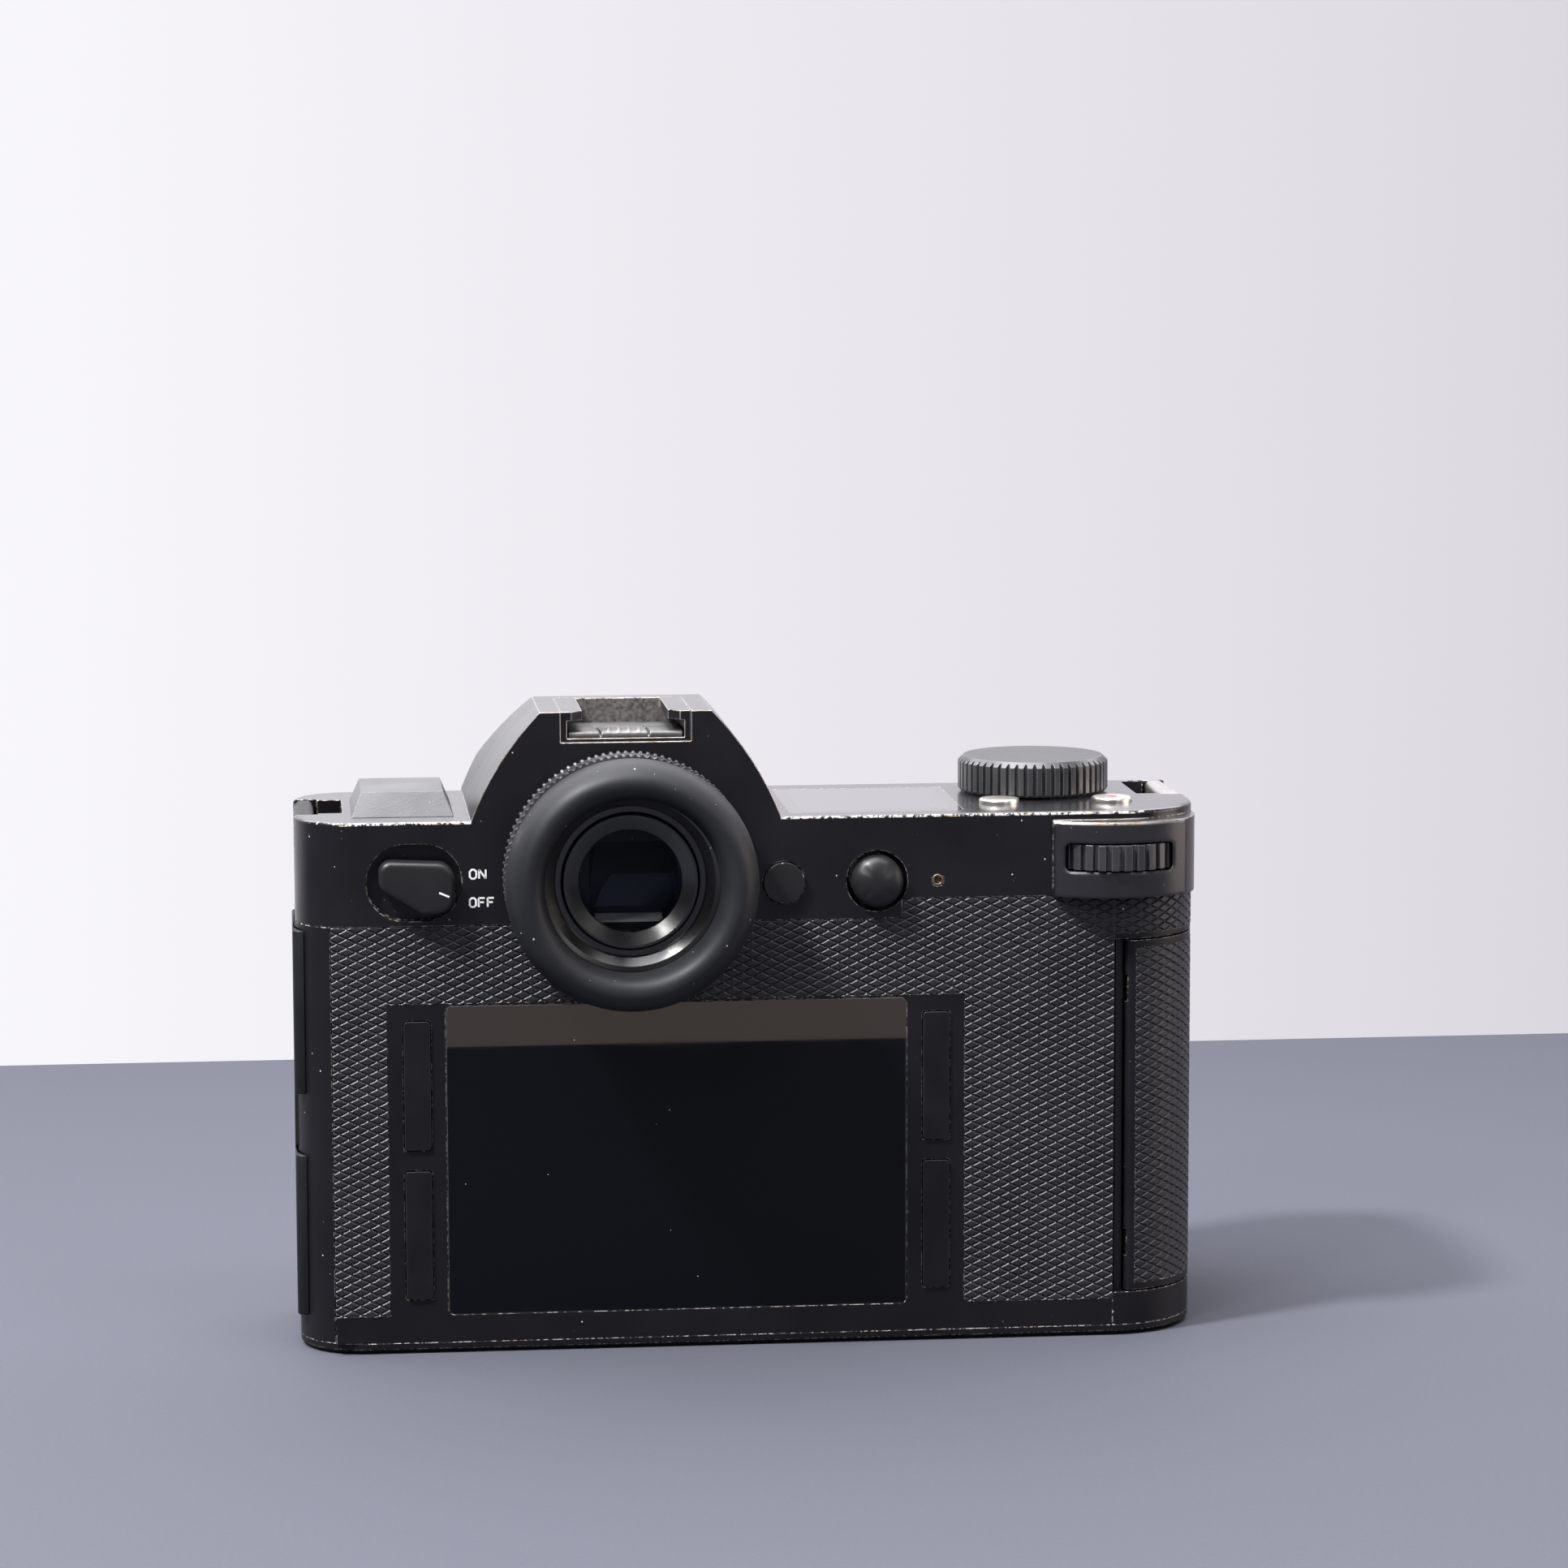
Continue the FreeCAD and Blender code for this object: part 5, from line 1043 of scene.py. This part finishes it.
def port_covers():
    shape = [(FLAP_INSIDE, 9.05), (FLAP_INSIDE, -9.1)]
    shape += [(corner_x(-9.1 - 0.5 * k), -9.1 - 0.5 * k) for k in range(11)]
    shape += bezier((corner_x(-14.1), -14.3), (-53.3, -14.4), (FLAP_FACE, -13.2), 6)
    shape += [(FLAP_FACE, -13.2), (FLAP_FACE, 8.4), (-53.3, 9.05)]
    for name, (low, high) in FLAP_SPANS.items():
        node = "port_cover_" + name
        mesh = slab(node + "_flap", shape, "z", low, high, 0.3, 3, both=True)
        replace(mesh, PLASTICS["cover"], node, node)


port_covers()


# Screws: pan heads with a cross recess

MOUNT_SCREWS = (40, 140, 215, 270)
MOUNT_SCREW_REACH = 32.0
MOUNT_FACE = 22.5
BASE_SCREWS = ((-44.0, -10.0), (-44.0, 9.0), (-22.0, 13.0), (24.0, -13.5), (56.0, 13.0), (86.0, -5.0))
BASE_FACE = 0.06
CROSS_REACH = 0.92
CROSS_HALF = 0.20


def screw_head(name, centre, axis, face, turned):
    """A head whose flat lies at the face, seen from outside along the axis."""
    count = 48
    angles = [2 * math.pi * k / count for k in range(count)]
    points = []
    for radius, rise in ((1.6, -0.42), (1.6, -0.12), (1.48, 0.0), (0.95, 0.0)):
        points += [(radius * math.cos(angle), radius * math.sin(angle), rise) for angle in angles]
    cross = []
    for angle in angles:
        aside, along = sorted((abs(math.cos(angle - turned)), abs(math.sin(angle - turned))))
        radius = min(CROSS_REACH, CROSS_HALF / max(aside, 0.05)) if aside < 0.7 else 0.3
        radius = min(radius, CROSS_REACH / along)
        cross.append((radius * math.cos(angle), radius * math.sin(angle)))
    for rise, scale in ((0.0, 1.0), (-0.36, 0.8)):
        points += [(x * scale, y * scale, rise) for x, y in cross]
    faces = grid_faces(6, count, ring=False)
    faces += [tuple(range(5 * count, 6 * count)), tuple(range(count))]
    out = 1 if axis == "y" else -1
    points = [TO_SPACE[axis](centre[0] + x, centre[1] + y, face + out * rise) for x, y, rise in points]
    return mesh_of(name, points, faces)


def screws():
    meshes = []
    for number, angle in enumerate(MOUNT_SCREWS):
        out = Vector((math.cos(math.radians(angle)), math.sin(math.radians(angle))))
        centre = Vector(MOUNT) + MOUNT_SCREW_REACH * out
        meshes.append(screw_head("mount_screw", centre, "y", MOUNT_FACE, 0.5 + number))
    for number, centre in enumerate(BASE_SCREWS):
        meshes.append(screw_head("base_screw", centre, "z", BASE_FACE, 0.3 + 1.7 * number))
    mesh = join_meshes("screw_heads", meshes)
    replace(mesh, METALS["bright"], "cover_screws", sharp=30.0)


screws()


# Small trim: contact pins in the lens mount, frame of the top display, dot on the right deck key

PIN_COUNT = 9
PIN_PITCH = 1.4
DISPLAY_FRAME = (29.0, 53.2, -13.6, 12.2)
RIGHT_KEY = (80.6, -7.2, 0.0)


def contact_pins():
    low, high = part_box("mount_contacts")
    z = (low.z + high.z) / 2 / MM
    y = high.y / MM
    profile = [(0, y - 0.3), (0.38, y - 0.3), (0.38, y + 0.22), (0.22, y + 0.36), (0, y + 0.40)]
    pins = []
    for number in range(PIN_COUNT):
        place = number - PIN_COUNT // 2
        pins.append(disc("pin", profile, (PIN_PITCH * place, 0, z - 0.05 * abs(place)), "y", 20))
    new_piece(join_meshes("contact_pins", pins), METALS["gold"])


def display_window():
    mesh = slab("display_window", rectangle(*DISPLAY_FRAME, 0.4), "z", 86.66, 86.705)
    new_piece(mesh, WINDOW)


def record_mark():
    mesh = disc("record_mark", [(0, 87.4), (0.95, 87.4), (0.95, 87.52), (0, 87.54)], RIGHT_KEY, "z", 36)
    new_piece(mesh, RED, "deck_key_right")


contact_pins()
display_window()
record_mark()


# Lettering and marks: strokes of ink

INK = 0.03
INK_LIFT = 0.005
STROKE = 0.30
WORDS = (("ON", -25.17, 77.43, 1.05, 1.44, 1.5), ("OFF", -25.2, 72.85, 0.98, 1.44, 1.43))


def strokes(name, lines, y, body):
    """Flat strokes of white ink on a face at y, each a line of (x, z) points, with square ends."""
    points, faces = [], []
    for line in lines:
        closed = line[0] == line[-1]
        line = [Vector(spot) for spot in (line[:-1] if closed else line)]
        count = len(line)
        start = len(points)
        for k, here in enumerate(line):
            before = line[k - 1] if k or closed else None
            after = line[(k + 1) % count] if k < count - 1 or closed else None
            first = (here - before).normalized() if before else (after - here).normalized()
            second = (after - here).normalized() if after else first
            middle = (first + second).normalized()
            side = Vector((-middle.y, middle.x)) * (STROKE / 2) / max(0.4, middle.dot(first))
            for sign, deep in ((1, 0.0), (1, INK), (-1, INK), (-1, 0.0)):
                spot = here + sign * side
                points.append((spot.x, y - deep, spot.y))
        faces += grid_faces(count, 4, ring=closed, first=start)
        if not closed:
            last = start + 4 * (count - 1)
            faces += [tuple(range(start, start + 4)), tuple(range(last, last + 4))]
    new_piece(mesh_of(name, points, faces), WHITE, body, 30.0)


def letter(kind, x, z, wide, tall):
    """The lines of a capital letter with its lower left corner at x, z."""
    c = 0.3 * wide
    right, top = x + wide, z + tall
    middle = z + 0.52 * tall
    ring = [(x + c, z), (right - c, z), (right, z + c), (right, top - c), (right - c, top), (x + c, top),
            (x, top - c), (x, z + c)]
    shapes = {
        "O": [ring + ring[:1]],
        "N": [[(x, z), (x, top)], [(x, top), (right, z)], [(right, z), (right, top)]],
        "F": [[(x, z), (x, top)], [(x, top), (right, top)], [(x, middle), (right - 0.15 * wide, middle)]],
    }
    return shapes[kind]


def lettering():
    for word, x, z, wide, tall, step in WORDS:
        lines = []
        for number, kind in enumerate(word):
            lines += letter(kind, x + number * step, z, wide, tall)
        strokes("word_" + word.lower(), lines, BACK - INK_LIFT, "root")
    strokes("lever_mark", [[(-30.15, 75.63), (-28.55, 74.95)]], LEVER_FACE, "power_lever")


lettering()


# Status lamp in its brass rim


def lamp():
    centre = (STATUS_LAMP[0], 0, STATUS_LAMP[1])
    profile = [(0.62, -19.6), (0.74, -19.62), (0.92, -19.55), (0.94, -19.1), (0.62, -19.1)]
    rim = lathe("lamp_rim", profile, centre, "y", 40)
    new_piece(rim, METALS["rim"])
    profile = [(0, -19.35), (0.4, -19.3), (0.615, -19.15), (0.615, -18.6), (0, -18.6)]
    eye = disc("lamp_eye", profile, centre, "y", 32)
    new_piece(eye, LAMP)


lamp()


# Camera, floor, wall and light

LOOK = {"place": (-55.03, -813.92, 194.87), "yaw": -5.778, "pitch": -7.347, "roll": -0.144, "lens": 115.19}


def camera():
    yaw, pitch, roll = (math.radians(LOOK[key]) for key in ("yaw", "pitch", "roll"))
    forward = Vector((-math.sin(yaw) * math.cos(pitch), math.cos(yaw) * math.cos(pitch), math.sin(pitch)))
    right = Vector((math.cos(yaw), math.sin(yaw), 0.0))
    up = right.cross(forward)
    right, up = (right * math.cos(roll) + up * math.sin(roll), up * math.cos(roll) - right * math.sin(roll))
    data = bpy.data.cameras.new("camera")
    data.lens = LOOK["lens"]
    data.sensor_width = 36.0
    data.clip_start = 0.01
    obj = placed("camera", data)
    turned = Matrix((right, up, -forward)).transposed()
    obj.matrix_world = Matrix.Translation(Vector(LOOK["place"]) * MM) @ turned.to_4x4()
    scene.camera = obj


TABLE_END = 245.0
WALL_PLACE = 2400.0


def stage_sheet(name, profile, half_width, material):
    """A sheet of the stage, its profile given as (y, z) points."""
    points = [(x, y, z) for y, z in profile for x in (-half_width, half_width)]
    mesh = mesh_of(name, points, grid_faces(len(profile), 2, ring=False, closed=False))
    mesh.materials.append(material)
    placed(name, mesh)


def floor():
    """A pale table that ends behind the object, and a far wall that glows, brighter to the left, as painted
    light, so that no view is blocked.
    """
    table = Shader("floor_pale", Roughness=0.75, Specular_IOR_Level=0.15)
    grain = table.noise(0.8, 4.0)
    table.set(Base_Color=table.mix(grain, (0.070, 0.073, 0.094), (0.088, 0.091, 0.113)))
    profile = [(-1800.0, 0.0), (TABLE_END, 0.0), (TABLE_END, -1200.0)]
    stage_sheet("floor", profile, 4000.0, table.material)
    # Painted light: the wall is dark but glows, brighter on the left, in place of lamps falling on it
    wall = Shader("wall_painted_glow", Roughness=0.9, Specular_IOR_Level=0.1, Emission_Strength=1.0)
    across = wall.ramp("x", -500.0, 1000.0)
    wall.set(Base_Color=wall.mix(wall.noise(60.0), (0.05, 0.05, 0.05), (0.06, 0.06, 0.06)))
    wall.set(Emission_Color=wall.mix(across, (0.97, 0.96, 1.0), (0.64, 0.61, 0.67)))
    stage_sheet("wall", [(WALL_PLACE, -1500.0), (WALL_PLACE, 4500.0)], 6000.0, wall.material)


def lamp_area(name, place, target, wide, tall, radiance, colour, diffuse=True):
    """An area light, hidden from the camera, of a given brightness as seen from the object."""
    data = bpy.data.lights.new(name, "AREA")
    data.shape = "RECTANGLE"
    data.size, data.size_y = wide, tall
    data.energy = radiance * math.pi * wide * tall
    data.color = colour
    obj = placed(name, data)
    place, target = Vector(place), Vector(target)
    obj.location = place
    obj.rotation_euler = (target - place).to_track_quat("-Z", "Y").to_euler()
    obj.visible_camera = False
    obj.visible_diffuse = diffuse
    return obj


def lights():
    middle = (0.02, 0.0, 0.05)
    lamp_area("key", (-0.78, -0.46, 1.36), middle, 0.16, 0.16, 540.0, (1.0, 0.99, 0.98))
    lamp_area("overhead", (-0.16, -0.10, 1.0), middle, 0.75, 0.70, 9.0, (0.97, 0.97, 1.0))
    lamp_area("right", (0.50, -0.32, 1.15), middle, 0.35, 0.35, 9.0, (0.98, 0.98, 1.0))
    lamp_area("behind", (0.0, 0.22, 0.42), (0.0, -0.3, 0.1), 1.0, 0.3, 3.5, (0.97, 0.97, 1.0))
    lamp_area("spark", (-0.585, -0.845, 0.86), middle, 0.14, 0.14, 60.0, (1.0, 0.99, 0.98))
    lamp_area("fill", (0.62, -0.91, 0.50), middle, 0.30, 0.30, 6.0, (1.0, 0.98, 0.97))
    lamp_area("warm_card", (0.95, -0.10, 0.22), middle, 0.6, 0.5, 5.0, (1.0, 0.86, 0.80), False)
    card = lamp_area("low_card", (0.0, -0.335, 0.004), (0.0, -0.335, 1.0), 0.9, 0.124, 3.0,
                     (1.0, 0.80, 0.68), False)
    only = bpy.data.collections.new("screen_only")
    only.objects.link(NODES["lcd_glass"])
    card.light_linking.receiver_collection = only
    world = bpy.data.worlds.new("studio")
    world.use_nodes = True
    colour, strength = world.node_tree.nodes["Background"].inputs[:2]
    colour.default_value = (0.80, 0.81, 0.87, 1.0)
    strength.default_value = 0.13
    scene.world = world
    scene.view_settings.view_transform = "Standard"


camera()
floor()
lights()
